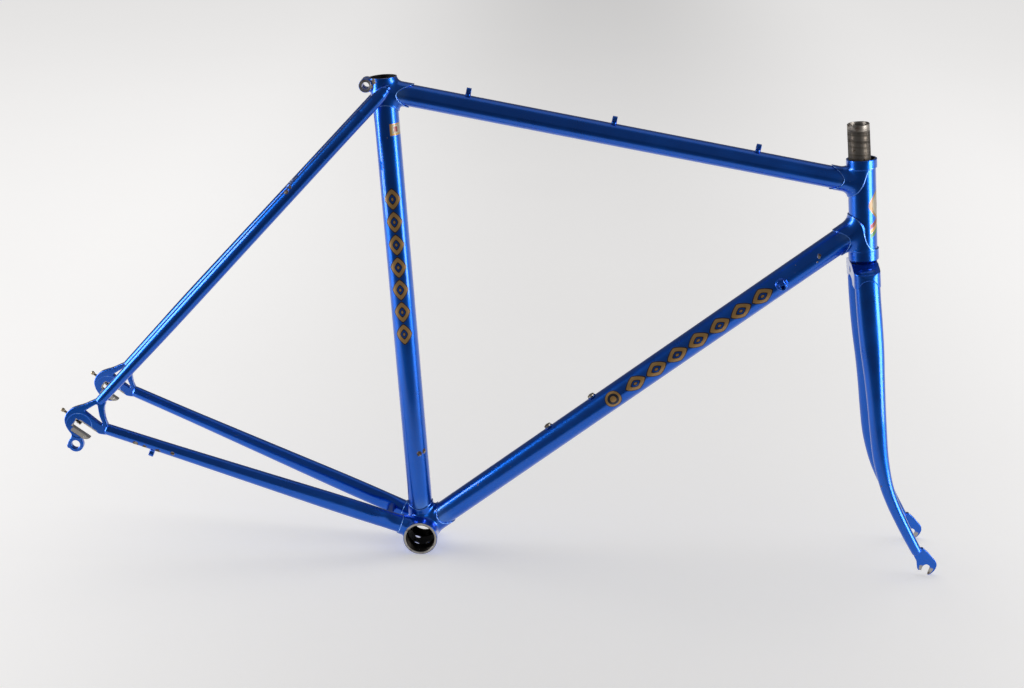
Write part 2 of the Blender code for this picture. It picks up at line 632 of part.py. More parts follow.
def make_dropout(side, sign):
    plane = side_pose(BRACKET + Y_AXIS * sign * REAR_HALF, Vector((1.0, 0.0, 0.0)))
    dropout = plate("rear_dropout_" + side, dropout_outline(side == "right"), DROPOUT_HALF_THICK, plane)
    cut(dropout, plate("dropout_window_" + side, window_outline(), 0.006, plane))
    if side == "right":
        hole = at(HANGER_CENTRE, sign * REAR_HALF)
        cut(dropout, rod("hanger_hole", hole - Y_AXIS * 0.01, hole + Y_AXIS * 0.01, HANGER_HOLE))
    start = at(ADJUSTER_START, sign * REAR_HALF)
    cut(dropout, rod("adjuster_hole_" + side, start, start + ADJUSTER_DIR * ADJUSTER_HOLE, SCREW_RADIUS + GAP,
                     SMALL_SIDES))
    finish_part(dropout, "rear_dropout_" + side)


SCREW_RADIUS = 0.0015
CAP_RADIUS = 0.0023
CAP_LENGTH = 0.0034
SPRING_WIRE = 0.00025
SPRING_RADIUS = 0.0019


def make_adjuster(side, sign):
    """Wheel adjuster: a screw with its head in the slot, a cap on its outer end and a short spring under the head."""
    start = at(ADJUSTER_START, sign * REAR_HALF)
    outward = pose(start, -ADJUSTER_DIR)
    screw_profile = [(0.0, -0.0010), (SCREW_RADIUS, -0.0010), (SCREW_RADIUS, -ADJUSTER_HEAD),
                     (0.0021, -ADJUSTER_HEAD - 0.0002), (0.0021, -ADJUSTER_HEAD - 0.0016),
                     (0.0014, -ADJUSTER_HEAD - 0.0022), (0.0, -ADJUSTER_HEAD - 0.0022)]
    screw = turned("adjuster_screw_" + side, screw_profile, outward, SMALL_SIDES)
    finish_part(screw, "adjuster_screw_" + side, STEEL, 0.4, 1.0)
    bore = SCREW_RADIUS + GAP
    cap_profile = [(0.0, 0.0003), (CAP_RADIUS - 0.0004, 0.0003), (CAP_RADIUS, -0.0001), (CAP_RADIUS, -CAP_LENGTH),
                   (bore, -CAP_LENGTH), (bore, -0.0007), (0.0, -0.0007)]
    cap = turned("adjuster_cap_" + side, cap_profile, outward, SMALL_SIDES)
    finish_part(cap, "adjuster_cap_" + side, BRIGHT, 0.35, 1.0)
    spring = bpy.data.curves.new("adjuster_spring_" + side, "CURVE")
    spring.dimensions = "3D"
    spring.bevel_depth = SPRING_WIRE
    spring.bevel_resolution = 0
    spring.use_fill_caps = True
    turns, per_turn = 3, 9
    line = spring.splines.new("POLY")
    line.points.add(turns * per_turn)
    for i, point in enumerate(line.points):
        angle = 2 * math.pi * i / per_turn
        height = -ADJUSTER_HEAD + 0.0005 + 0.0029 * i / (turns * per_turn)
        point.co = (SPRING_RADIUS * math.cos(angle), SPRING_RADIUS * math.sin(angle), height, 1.0)
    coil = new_object("adjuster_spring_" + side, spring, outward)
    finish_part(coil, "adjuster_spring_" + side, STEEL, 0.45, 1.0)


# --- small braze-ons ------------------------------------------------------------------------------
CABLE_STOP_ALONG = 0.3335
STAY_AT_STOP = 0.0073  # radius of the chainstay there, and a little more
GUIDE_PLACES = {"rear": 0.0939, "middle": 0.2616, "front": 0.4274}


def peg_guide(name, foot, up, along, lift):
    """Split cable guide: a short open ring on a foot."""
    centre = foot + up * lift
    half = along * 0.0028
    ring = rod(name, centre - half, centre + half, 0.0034, SMALL_SIDES)
    join(ring, block(name + "_foot", foot + up * (lift / 2), up, (0.0052, 0.0030, lift)))
    cut(ring, rod(name + "_bore", centre - half * 2, centre + half * 2, 0.0023, SMALL_SIDES))
    return finish_part(ring, name)


def make_cable_guides():
    for name, along in GUIDE_PLACES.items():
        foot = SEAT_NODE + TOP_DIR * along + TOP_UP * (TOP_RADIUS + GAP)
        peg_guide("top_tube_cable_guide_" + name, foot, TOP_UP, TOP_DIR, 0.0048)
    along = CHAINSTAY_LINE.normalized()
    stay_along = Vector((along.x, 0.0, along.z)).normalized()
    below = Vector((stay_along.z, 0.0, -stay_along.x))
    if below.z > 0:
        below = -below
    foot = chainstay_point(CABLE_STOP_ALONG, -1) + below * (STAY_AT_STOP + GAP)
    peg_guide("chainstay_cable_stop", foot, below, stay_along, 0.0046)


def make_bottle_bosses():
    """Threaded inserts through the down tube's upper wall, each with its button-head screw."""
    for name, along in BOTTLE_PLACES.items():
        seat = pose(BRACKET + DOWN_DIR * along + DOWN_UP * (DOWN_RADIUS + GAP), DOWN_UP)
        shank, bore = BOSS_HOLE - GAP, 0.0027
        insert = [(0.0046, 0.0008), (0.0050, 0.0004), (0.0050, 0.0), (shank, 0.0), (shank, -0.0070),
                  (bore, -0.0070), (bore, 0.0008)]
        boss = turned("bottle_boss_" + name, insert, seat, SMALL_SIDES, ring=True)
        finish_part(boss, "bottle_boss_" + name)
        lift = 0.0008 + GAP
        head = [(0.0, lift + 0.0026), (0.0022, lift + 0.0026), (0.0038, lift + 0.0018), (0.0043, lift + 0.0005),
                (0.0043, lift), (0.0024, lift), (0.0024, -0.0090), (0.0, -0.0090)]
        screw = turned("bottle_screw_" + name, head, seat, SMALL_SIDES)
        finish_part(screw, "bottle_screw_" + name, BRIGHT, 0.35, 1.0)


SHIFTER_ALONG = 0.5259


def make_shifter_boss(side, sign):
    """Down tube lever boss: round base, square shoulder and drilled stud."""
    out = Y_AXIS * sign
    root = BRACKET + DOWN_DIR * SHIFTER_ALONG
    base = rod("shifter_boss_" + side, root + out * 0.0095, root + out * 0.0170, 0.0064, 24)
    join(base, block("boss_square_" + side, root + out * 0.0180, DOWN_UP, (0.0086, 0.0050, 0.0086)))
    join(base, rod("boss_stud_" + side, root + out * 0.0190, root + out * 0.0262, 0.0040, 24))
    cut(base, rod("boss_thread_" + side, root + out * 0.0150, root + out * 0.0300, 0.0023, SMALL_SIDES))
    cut(base, down_rod("boss_cutter_" + side, SHIFTER_ALONG - 0.02, SHIFTER_ALONG + 0.02, DOWN_RADIUS + GAP))
    finish_part(base, "shifter_boss_" + side)


# --- fork -----------------------------------------------------------------------------------------
BRAKE_HOLE_DROP = 0.0115
BRAKE_HOLE_RADIUS = 0.0035


def brake_hole(name):
    """Cutter for the brake bolt's hole, fore and aft through the crown and the steerer."""
    return rod(name, fork_at(BRAKE_HOLE_DROP, -0.03), fork_at(BRAKE_HOLE_DROP, 0.03), BRAKE_HOLE_RADIUS, SMALL_SIDES)


def make_steerer():
    """Steerer tube, its upper end turned down a little above the threads."""
    foot = fork_at(0.0200, 0.0)
    length = STEERER_TOP + 0.0200
    profile = [(STEERER_RADIUS - 0.0006, length), (STEERER_RADIUS, length - 0.0006), (STEERER_RADIUS, 0.0),
               (STEERER_BORE, 0.0), (STEERER_BORE, length)]
    steerer = turned("steerer_tube", profile, pose(foot, FORK_DIR), ring=True)
    cut(steerer, brake_hole("steerer_brake_hole"))
    finish_part(steerer, "steerer_tube", STEEL, 0.4, 1.0)


BLADE_SIZES = [  # drop, ahead, radius in the frame's plane, radius across
    (0.0120, -0.0010, 0.0143, 0.0100), (0.0400, -0.0008, 0.0143, 0.0100), (0.0700, 0.0, 0.0142, 0.0099),
    (0.1000, 0.0010, 0.0135, 0.0097), (0.1320, 0.0020, 0.0118, 0.0094), (0.1640, 0.0027, 0.0106, 0.0091),
    (0.1970, 0.0033, 0.0099, 0.0086), (0.2300, 0.0047, 0.0091, 0.0080), (0.2620, 0.0093, 0.0079, 0.0074),
    (0.2860, 0.0160, 0.0073, 0.0070), (0.3080, 0.0242, 0.0069, 0.0067), (0.3280, 0.0324, 0.0066, 0.0064),
    (0.3480, 0.0412, 0.0062, 0.0062)]
BLADE_FOOT_DROP = BLADE_SIZES[-1][0]


def blade_y(drop):
    share = (drop - BLADE_SIZES[0][0]) / (BLADE_FOOT_DROP - BLADE_SIZES[0][0])
    return BLADE_TOP_Y + (FORK_HALF - BLADE_TOP_Y) * share


def blade_stations(sign, grow=0.0):
    return [(fork_at(drop, ahead, sign * blade_y(drop)), tall + grow, across + grow)
            for drop, ahead, tall, across in BLADE_SIZES]


def crown_plan():
    """Crown outline seen along the steerer: straight sides and oval ends, as (ahead, y) points."""
    end = [(0.0152 * math.cos(math.radians(a)), BLADE_TOP_Y + 0.0001 + 0.0112 * math.sin(math.radians(a)))
           for a in range(0, 181, 15)]
    start = [(-x, -y) for x, y in end]
    return end + start


def make_crown():
    """Sloping crown: sockets for both blades, a bore for the steerer and the brake bolt's hole."""
    plan_pose = pose(fork_at(0.0, -0.0010), FORK_DIR)
    crown = plate("fork_crown", crown_plan(), 0.040, plan_pose)
    front = [(-0.0170, -0.0018), (0.0170, -0.0018), (0.0405, -0.0085), (0.0440, -0.0125), (0.0450, -0.0260),
             (0.0170, -0.0260), (0.0165, -0.0235), (0.0120, -0.0200), (0.0, -0.0190)]
    front = front + [(-y, up) for y, up in front[:1:-1][1:]]
    front_pose = Matrix.Translation(fork_at(0.0, 0.0)) @ Matrix((Y_AXIS, FORK_DIR, FORK_AHEAD)).transposed().to_4x4()
    trim(crown, plate("crown_front_outline", front, 0.030, front_pose))
    race = pose(fork_at(0.0030, 0.0), FORK_DIR)
    join(crown, turned("race_seat", [(0.0, 0.0020), (0.0150, 0.0020), (0.0150, -0.0020), (0.0, -0.0020)], race))
    join(crown, rod("crown_core", fork_at(0.0220, 0.0), fork_at(0.0020, 0.0), 0.0152))
    for side, sign in SIDES.items():
        cut(crown, loft("blade_socket_" + side, blade_stations(sign, GAP)))
        arch = fork_at(0.0262, -0.0005, sign * 0.020)
        cut(crown, rod("socket_arch_" + side, arch, arch + Y_AXIS * sign * 0.03, 0.0108, 24))
    cut(crown, rod("steerer_bore", fork_at(0.05, 0.0), fork_at(-0.02, 0.0), STEERER_RADIUS + GAP))
    cut(crown, brake_hole("crown_brake_hole"))
    finish_part(crown, "fork_crown")


def make_blade(side, sign):
    finish_part(loft("fork_blade_" + side, blade_stations(sign), wall=TUBE_WALL), "fork_blade_" + side)


def fork_end_outline():
    """Slotted fork end seen from the left, relative to the axle, as (x, z) points; the slot opens down and back."""
    slot_dir = Vector((math.sin(math.radians(-16)), -math.cos(math.radians(16))))
    across = Vector((-slot_dir.y, slot_dir.x))
    round_end = []
    for i in range(9):
        turn = math.radians(180 * i / 8)
        point = across * (FORK_SLOT * math.cos(turn)) - slot_dir * (FORK_SLOT * math.sin(turn))
        round_end.append(tuple(point))
    front_tip = [(0.0010, -0.0074), (0.0024, -0.0087), (0.0048, -0.0083), (0.0078, -0.0058)]
    front = [(0.0105, -0.0022), (0.0122, 0.0025), (0.0118, 0.0068), (0.0095, 0.0105), (0.0060, 0.0138)]
    top = fork_end_top()
    back = [(-0.0118, 0.0085), (-0.0108, 0.0020), (-0.0103, -0.0012), (-0.0088, -0.0030), (-0.0066, -0.0026)]
    return front_tip + front + top + back + round_end[::-1]


def fork_end_top():
    """Corners of the fork end where it meets the blade."""
    foot = fork_at(*BLADE_SIZES[-1][:2]) - fork_at(*AXLE)
    last = fork_at(*BLADE_SIZES[-1][:2]) - fork_at(*BLADE_SIZES[-2][:2])
    down = Vector((last.x, last.z)).normalized()
    across = Vector((-down.y, down.x))
    middle = Vector((foot.x, foot.z)) + down * END_CLEAR
    return [tuple(middle + across * 0.0060), tuple(middle - across * 0.0060)]


def make_fork_end(side, sign):
    plane = side_pose(fork_at(*AXLE, sign * FORK_HALF), Vector((1.0, 0.0, 0.0)))
    finish_part(plate("fork_end_" + side, fork_end_outline(), FORK_END_HALF_THICK, plane), "fork_end_" + side)


# --- assembly -------------------------------------------------------------------------------------
def main():
    make_main_tubes()
    make_upper_head_lug()
    make_lower_head_lug()
    make_seat_lug()
    make_bracket_shell()
    for side, sign in SIDES.items():
        make_chainstay(side, sign)
        make_seatstay(side, sign)
        make_seatstay_cap(side, sign)
        make_dropout(side, sign)
        make_adjuster(side, sign)
        make_shifter_boss(side, sign)
        make_blade(side, sign)
        make_fork_end(side, sign)
    make_bridges()
    make_cable_guides()
    make_bottle_bosses()
    make_steerer()
    make_crown()


main()
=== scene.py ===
"""Looks of the lugged steel bicycle frame and fork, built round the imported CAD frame.

Every painted piece is rebuilt finer than its CAD node. Tubes are swept. Lugs, crown, dropouts and fittings are
meshed from distance fields, so that their joints have brazed fillets and their edges are rounded. Places come
from the record's mounts and openings and from the joints. Lengths are in metres, and in millimetres inside mm().
Side-view places are (x, z) from the bracket's centre.
"""

import json
from functools import partialmethod, reduce
from math import cos, exp, pi, radians, sin, sqrt

import bmesh
import bpy
import numpy as np
import openvdb
from mathutils import Matrix, Vector


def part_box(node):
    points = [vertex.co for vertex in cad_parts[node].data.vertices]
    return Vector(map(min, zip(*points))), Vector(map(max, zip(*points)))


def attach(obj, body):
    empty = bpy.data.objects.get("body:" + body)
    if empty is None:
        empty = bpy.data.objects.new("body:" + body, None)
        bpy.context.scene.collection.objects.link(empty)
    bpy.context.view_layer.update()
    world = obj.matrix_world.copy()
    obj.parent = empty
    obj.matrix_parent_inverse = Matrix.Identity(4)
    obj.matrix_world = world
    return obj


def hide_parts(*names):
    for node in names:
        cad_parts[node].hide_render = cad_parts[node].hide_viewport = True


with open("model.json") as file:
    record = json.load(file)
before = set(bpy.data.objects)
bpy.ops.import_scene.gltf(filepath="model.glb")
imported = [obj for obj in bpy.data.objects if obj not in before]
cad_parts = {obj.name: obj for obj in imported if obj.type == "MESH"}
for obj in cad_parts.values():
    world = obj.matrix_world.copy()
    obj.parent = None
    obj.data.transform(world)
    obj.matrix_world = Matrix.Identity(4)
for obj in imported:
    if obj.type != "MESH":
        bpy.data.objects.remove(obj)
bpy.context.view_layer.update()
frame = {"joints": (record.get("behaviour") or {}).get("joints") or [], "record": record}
RECORD = frame["record"]
MOUNTS = {m["name"]: m for m in RECORD["mounts"]}
JOINTS = {j["name"]: j for j in frame["joints"]}
OPENINGS = {o["name"]: o["box_m"] for o in RECORD["physics"]["openings"]}


# --- places from the frame ---
def mount_place(name):
    """A mount's point, moved sideways into the frame's middle plane."""
    x, _, z = MOUNTS[name]["pos_m"]
    return Vector((x, 0.0, z))


def mount_axis(name):
    return Vector(MOUNTS[name]["axis"]).normalized()


def opening_centre(name):
    low, high = OPENINGS[name]
    return (Vector(low) + Vector(high)) / 2


def up_of(direction):
    """Side-view direction a quarter turn up from another one."""
    return Vector((-direction.z, 0.0, direction.x))


def half_width(plate):
    """Distance of a wheel end's plate from the frame's middle plane."""
    return sum(MOUNTS["%s_%s_left" % (plate, face)]["pos_m"][1] for face in ("inner", "outer")) / 2


Y_AXIS = Vector((0.0, 1.0, 0.0))
SIDES = {"left": 1, "right": -1}
GAP = 0.0003
LUG_WALL = 0.001
RING_WALL = 0.0012
TUBE_WALL = 0.0009
THREAD_PITCH = 0.001058  # 24 turns to the inch
TUBE_START = 0.0215  # of the seat and down tubes, from the bracket's centre

BRACKET = opening_centre("bottom_bracket_bore")
SEAT_DIR = mount_axis("seat_lug_rim")
SEAT_RIM = mount_place("seat_lug_rim")
HEAD_DIR = mount_axis("head_tube_top_face")
HEAD_TOP = mount_place("head_tube_top_face")
RACE_SEAT = Vector(JOINTS["steering"]["pos_m"])
FORK_DIR = Vector(JOINTS["steering"]["axis"]).normalized()
FORK_AHEAD, SEAT_AHEAD, HEAD_AHEAD = -up_of(FORK_DIR), -up_of(SEAT_DIR), -up_of(HEAD_DIR)
SEAT_NODE = SEAT_RIM - SEAT_DIR * 0.0161
HEAD_NODE = HEAD_TOP - HEAD_DIR * 0.0284
TOP_DIR = (HEAD_NODE - SEAT_NODE).normalized()
TOP_UP = up_of(TOP_DIR)
DOWN_NODE = HEAD_NODE - HEAD_DIR * 0.0491
DOWN_DIR = (DOWN_NODE - BRACKET).normalized()
DOWN_UP = up_of(DOWN_DIR)
HEAD_LINE, SEAT_LINE, TOP_LINE = (HEAD_NODE, HEAD_DIR), (SEAT_NODE, SEAT_DIR), (SEAT_NODE, TOP_DIR)
AXLE_LINE, DOWN_LINE, FORK_LINE = (BRACKET, Y_AXIS), (BRACKET, DOWN_DIR), (RACE_SEAT, FORK_DIR)
HEAD_ABOVE = 0.0284
HEAD_BELOW = 0.089
REAR_HALF = half_width("rear_dropout")
FORK_HALF = half_width("fork_end")

SHELL_RADIUS = 0.0205
SHELL_BORE = 0.0173
SHELL_HALF = 0.034
SEAT_RADIUS = 0.0143
DOWN_RADIUS = 0.0143
TOP_RADIUS = 0.0127
HEAD_RADIUS = 0.0159
HEAD_BORE = 0.0151
STEERER_RADIUS = 0.0127
STEERER_BORE = 0.0111
STEERER_TOP = 0.1575
CHAINSTAY_ROOT = 0.0108
SEATSTAY_RADIUS = 0.0075


def at(side_place, y=0.0):
    return BRACKET + Vector((side_place[0], y, side_place[1]))


def fork_at(drop, ahead, y=0.0):
    return RACE_SEAT - FORK_DIR * drop + FORK_AHEAD * ahead + Y_AXIS * y


CHAINSTAY_FROM = at((0.0, 0.0047), 0.0195)
CHAINSTAY_TO = at((-0.3615, 0.1433), REAR_HALF)
SEATSTAY_FROM = at((-0.3686, 0.1783), REAR_HALF)
SEATSTAY_TO = at((-0.0385, 0.537), 0.0215)


def stay_point(start, end, distance, sign):
    """Point on a stay's line, on the left (1) or right (-1) side."""
    x, y, z = start + (end - start).normalized() * distance
    return Vector((x, y * sign, z))


def chainstay_point(distance, sign):
    return stay_point(CHAINSTAY_FROM, CHAINSTAY_TO, distance, sign)


def seatstay_point(distance, sign):
    return stay_point(SEATSTAY_FROM, SEATSTAY_TO, distance, sign)


def line_of(stay, sign):
    """A stay's start and its direction."""
    return stay(0.0, sign), (stay(1.0, sign) - stay(0.0, sign)).normalized()


def mm(*rows):
    """Rows of numbers in millimetres as lists in metres."""
    return [tuple(value / 1000 for value in row) for row in rows]


CHAINSTAY_LENGTH = (CHAINSTAY_TO - CHAINSTAY_FROM).length
SEATSTAY_LENGTH = (SEATSTAY_TO - SEATSTAY_FROM).length
CAP_START = SEATSTAY_LENGTH - 0.034
AXLE = (0.3691, 0.0512)


# --- materials ---
class Graph:
    """Node tree of one material, with short names for the nodes it uses."""

    def __init__(self, name):
        self.material = bpy.data.materials.new(name)
        self.material.use_nodes = True
        self.tree = self.material.node_tree
        self.shader = self.tree.nodes["Principled BSDF"]
        self.place = self.tree.nodes.new("ShaderNodeTexCoord").outputs["Object"]

    def link(self, value, socket):
        if isinstance(value, bpy.types.NodeSocket):
            self.tree.links.new(value, socket)
        else:
            socket.default_value = value

    def node(self, kind, inputs, output=0, **settings):
        """Output of a new node, given what goes on its inputs and its settings."""
        made = self.tree.nodes.new("ShaderNode" + kind)
        for name, value in settings.items():
            setattr(made, name, value)
        for key, value in inputs.items():
            self.link(value, made.inputs[key])
        return made.outputs[output]

    def math(self, operation, a, b=0.0, clamp=False):
        return self.node("Math", {0: a, 1: b}, operation=operation, use_clamp=clamp)

    plus, minus = partialmethod(math, "ADD"), partialmethod(math, "SUBTRACT")
    times, over = partialmethod(math, "MULTIPLY"), partialmethod(math, "DIVIDE")
    power, larger = partialmethod(math, "POWER"), partialmethod(math, "MAXIMUM")
    size = partialmethod(math, "ABSOLUTE")

    def along(self, origin, direction):
        """Distance of the shaded point from a plane through origin, along direction."""
        moved = self.node("VectorMath", {0: self.place, 1: origin}, operation="SUBTRACT")
        return self.node("VectorMath", {0: moved, 1: direction}, "Value", operation="DOT_PRODUCT")

    def distance(self, origin):
        return self.node("VectorMath", {0: self.place, 1: origin}, "Value", operation="DISTANCE")

    def noise(self, scale, detail=2.0, roughness=0.5, stretch=None):
        place = self.place
        if stretch is not None:
            place = self.node("Mapping", {"Vector": place, "Scale": stretch})
        inputs = {"Scale": scale, "Detail": detail, "Roughness": roughness, "Vector": place}
        return self.node("TexNoise", inputs, "Fac")

    def step(self, value, low, high, start=0.0, end=1.0):
        """Smooth step of a value from start to end between low and high."""
        inputs = {"Value": value, "From Min": low, "From Max": high, "To Min": start, "To Max": end}
        return self.node("MapRange", inputs, "Result", interpolation_type="SMOOTHSTEP")

    def mix(self, share, a, b):
        return self.node("Mix", {0: share, 6: a, 7: b}, 2, data_type="RGBA")

    def blend(self, share, a, b):
        return self.node("Mix", {0: share, 2: a, 3: b}, data_type="FLOAT")

    def bump(self, height, distance, strength=1.0, **normal):
        inputs = {"Strength": strength, "Distance": distance, "Height": height}
        return self.node("Bump", {**inputs, **normal}, "Normal")

    def inside(self, value, low, high, soft):
        """One where a value lies between two limits, with soft ends."""
        up = self.step(value, low - soft, low + soft)
        down = self.step(value, high - soft, high + soft, 1.0, 0.0)
        return self.times(up, down)

    def either(self, masks):
        """One where any of some masks is one."""
        return reduce(self.larger, masks)

    def ragged(self, value, size, scale=420.0):
        """A value with its level lines made ragged by noise of a size."""
        rough = self.minus(self.noise(scale, 3.0, 0.6), 0.5)
        return self.plus(value, self.times(rough, size))

    def across(self, origin, axis):
        """Distance of the shaded point from a line along a unit axis."""
        far, along = self.distance(origin), self.along(origin, axis)
        square = self.minus(self.power(far, 2.0), self.power(along, 2.0))
        return self.math("SQRT", self.larger(square, 0.0))

    def spots(self, places, size):
        """One inside any of the (place, radius) spots, with ragged edges."""
        rough = self.times(self.minus(self.noise(420.0, 3.0, 0.6), 0.5), size)
        shares = [self.plus(self.over(self.distance(place), radius), rough) for place, radius in places]
        return self.either([self.step(share, 0.92, 1.05, 1.0, 0.0) for share in shares])

    def set(self, name, value):
        self.link(value, self.shader.inputs[name])

    def cover(self, mask, looks, **others):
        """Cover colour, metallic, roughness and coat with others where the mask is one."""
        for name, value in others.items():
            looks[name] = (self.mix if name == "colour" else self.blend)(mask, looks[name], value)


DEEP_BLUE = (0.002, 0.076, 0.45, 1.0)
BRIGHT_BLUE = (0.006, 0.152, 0.76, 1.0)
# Colour of the highlight painted along lug edges and on convex edges.
HIGHLIGHT_BLUE = (0.22, 0.46, 0.88, 1.0)
PRIMER = (0.36, 0.3, 0.22, 1.0)
RUSTED = (0.085, 0.046, 0.026, 1.0)
BARE = (0.44, 0.42, 0.39, 1.0)
# Near-black colour for the inside of bores.
BORE_DARK = (0.01, 0.009, 0.008, 1.0)
GOLD = (0.5, 0.27, 0.07, 1.0)
AMBER = (0.8, 0.42, 0.05, 1.0)
LEAF = (0.08, 0.3, 0.07, 1.0)
INK = (0.004, 0.006, 0.02, 1.0)
CRIMSON = (0.35, 0.02, 0.015, 1.0)
CREAM = (0.62, 0.55, 0.4, 1.0)


def lozenge_row(graph, along, across, low, cells, pitch, height):
    """Row of gold lozenge rings, each with a small lozenge inside and a dark outline."""
    place = graph.minus(graph.math("PINGPONG", graph.minus(along, low), pitch / 2), pitch / 2)
    wide = graph.over(graph.size(place), pitch * 0.47)
    tall = graph.over(graph.size(across), height / 2)
    size = graph.plus(graph.power(wide, 1.35), graph.power(tall, 1.35))
    ring = graph.inside(size, 0.4, 0.9, 0.02)
    core = graph.inside(size, -1.0, 0.085, 0.02)
    span = graph.inside(along, low, low + cells * pitch, 0.0002)
    gold = graph.times(graph.larger(ring, core), span)
    dark = graph.larger(graph.inside(size, 0.28, 1.06, 0.03), graph.inside(size, -1.0, 0.16, 0.03))
    return [(graph.times(dark, span), INK), (gold, GOLD)]


def ring_mark(graph, place, radius):
    """Plain gold ring emblem with a dot in the middle."""
    distance = graph.distance(place)
    ring = graph.inside(distance, radius * 0.66, radius * 0.92, 0.0002)
    dot = graph.inside(distance, -1.0, radius * 0.36, 0.0002)
    return [(graph.inside(distance, -1.0, radius, 0.0002), INK), (graph.larger(ring, dot), GOLD)]


def patch(graph, along, across, start, end, low, high):
    """Mask of a rectangle from start to end along and from low to high across."""
    return graph.times(graph.inside(along, start, end, 0.0003), graph.inside(across, low, high, 0.0003))


def down_tube_marks(graph):
    along = graph.along(BRACKET, DOWN_DIR)
    across = graph.along(BRACKET + DOWN_UP * 0.0016, DOWN_UP)
    marks = lozenge_row(graph, along, across, 0.305, 7, 0.03, 0.0172)
    for sign in SIDES.values():
        place = BRACKET + DOWN_DIR * 0.2875 + DOWN_UP * 0.0012 + Y_AXIS * sign * DOWN_RADIUS
        marks += ring_mark(graph, place, 0.0104)
    return marks


def seat_tube_marks(graph):
    """Row of lozenges and a small patch of coloured stripes above it."""
    along = graph.along(BRACKET, SEAT_DIR)
    across = graph.along(BRACKET, SEAT_AHEAD)
    marks = lozenge_row(graph, along, across, 0.238, 7, 0.027, 0.018)
    stripes = ((0.4865, 0.5, 0.004, 0.0142, AMBER), (0.4885, 0.4985, 0.0062, 0.0142, CREAM),
               (0.4905, 0.4965, 0.0085, 0.012, CRIMSON))
    return marks + [(patch(graph, along, across, *spans), tint) for *spans, tint in stripes]


def head_badge_marks(graph):
    """Plain oval badge on the front of the head tube, over three short coloured ribbons."""
    up = graph.along(HEAD_NODE - HEAD_DIR * 0.0241, HEAD_DIR)
    side = graph.along(HEAD_NODE, Y_AXIS)
    front = graph.step(graph.along(HEAD_NODE, HEAD_AHEAD), 0.0, 0.001)
    tall, wide = graph.over(up, 0.018), graph.over(side, 0.0151)
    size = graph.plus(graph.power(tall, 2.0), graph.power(wide, 2.0))
    marks = []
    slanted = graph.plus(up, graph.times(graph.size(side), 0.9))
    for low, tint in ((-0.0195, AMBER), (-0.025, LEAF), (-0.014, CRIMSON)):
        ribbon = patch(graph, slanted, side, low, low + 0.005, -0.0145, 0.0145)
        marks.append((graph.times(ribbon, front), tint))
    for limit, tint in ((1.0, GOLD), (0.72, CREAM), (0.16, CRIMSON)):
        marks.append((graph.times(graph.inside(size, -1.0, limit, 0.03), front), tint))
    return marks


def paint(name, marks=None, chips=(), zone=None, bore_darkening=None, extra_wear=0.0):
    """Candy blue metallic enamel: flake, orange peel, painted highlight on lug edges, chips to primer and a bare
    zone.
    """
    graph = Graph(name)
    cloud = graph.noise(26.0, 3.0, 0.55)
    flake = graph.noise(2300.0, 1.0, 0.5)
    share = graph.plus(graph.times(cloud, 0.45), graph.times(flake, 0.55), clamp=True)
    looks = {"colour": graph.mix(share, DEEP_BLUE, BRIGHT_BLUE), "metallic": 0.94,
             "roughness": graph.step(cloud, 0.3, 0.72, 0.27, 0.34),
             "coat": graph.step(graph.noise(70.0, 4.0, 0.6), 0.35, 0.8, 1.0, 0.8)}
    # Painted highlight: light blue along the lugs' edge lines from the mesh attribute and, fainter, on all
    # convex edges.
    rim = graph.step(graph.node("NewGeometry", {}, "Pointiness"), 0.54, 0.6)
    painted_highlight = graph.node("Attribute", {}, "Fac", attribute_name="painted_highlight")
    bright = graph.times(painted_highlight, graph.step(cloud, 0.25, 0.6, 0.3, 0.8))
    graph.cover(graph.larger(bright, graph.times(rim, 0.45)), looks, colour=HIGHLIGHT_BLUE)
    for mask, tint in marks(graph) if marks else ():
        rubbed = graph.step(graph.noise(340.0, 3.0, 0.65), 0.66, 0.74, 1.0, 0.0)
        graph.cover(graph.times(mask, rubbed), looks, colour=tint, metallic=0.25, roughness=0.45)
    specks = graph.step(graph.noise(300.0, 2.0, 0.5), 0.75 - extra_wear, 0.77 - extra_wear)
    chipped = graph.times(specks, graph.step(graph.noise(21.0, 2.0, 0.5), 0.52, 0.6))
    if chips:
        chipped = graph.larger(chipped, graph.spots(chips, 1.5))
    worn = graph.times(rim, graph.step(graph.noise(130.0, 3.0, 0.6), 0.62, 0.7))
    chipped = graph.larger(chipped, worn)
    under = graph.mix(graph.step(graph.noise(190.0, 2.0, 0.5), 0.45, 0.55), PRIMER, RUSTED)
    graph.cover(chipped, looks, colour=under, metallic=0.25, roughness=0.62, coat=0.0)
    # Darker inside the bores.
    if bore_darkening:
        graph.cover(bore_darkening(graph), looks, colour=BORE_DARK, metallic=0.1, roughness=0.7, coat=0.0)
    if zone:
        stripped = zone(graph)
        metal = graph.mix(graph.step(graph.noise(150.0, 4.0, 0.6), 0.52, 0.74), BARE, RUSTED)
        graph.cover(stripped, looks, colour=metal, metallic=0.8, roughness=0.44, coat=0.0)
        chipped = graph.larger(chipped, stripped)
    peel = graph.bump(graph.noise(330.0, 2.0, 0.5), 0.00005, 0.4)
    graph.set("Base Color", looks["colour"])
    graph.set("Roughness", looks["roughness"])
    graph.set("Metallic", looks["metallic"])
    graph.set("Coat Weight", looks["coat"])
    graph.set("Coat Roughness", 0.04)
    graph.set("Coat IOR", 1.38)
    graph.set("Normal", graph.bump(graph.minus(1.0, chipped), 0.00012, 0.9, Normal=peel))
    return graph.material


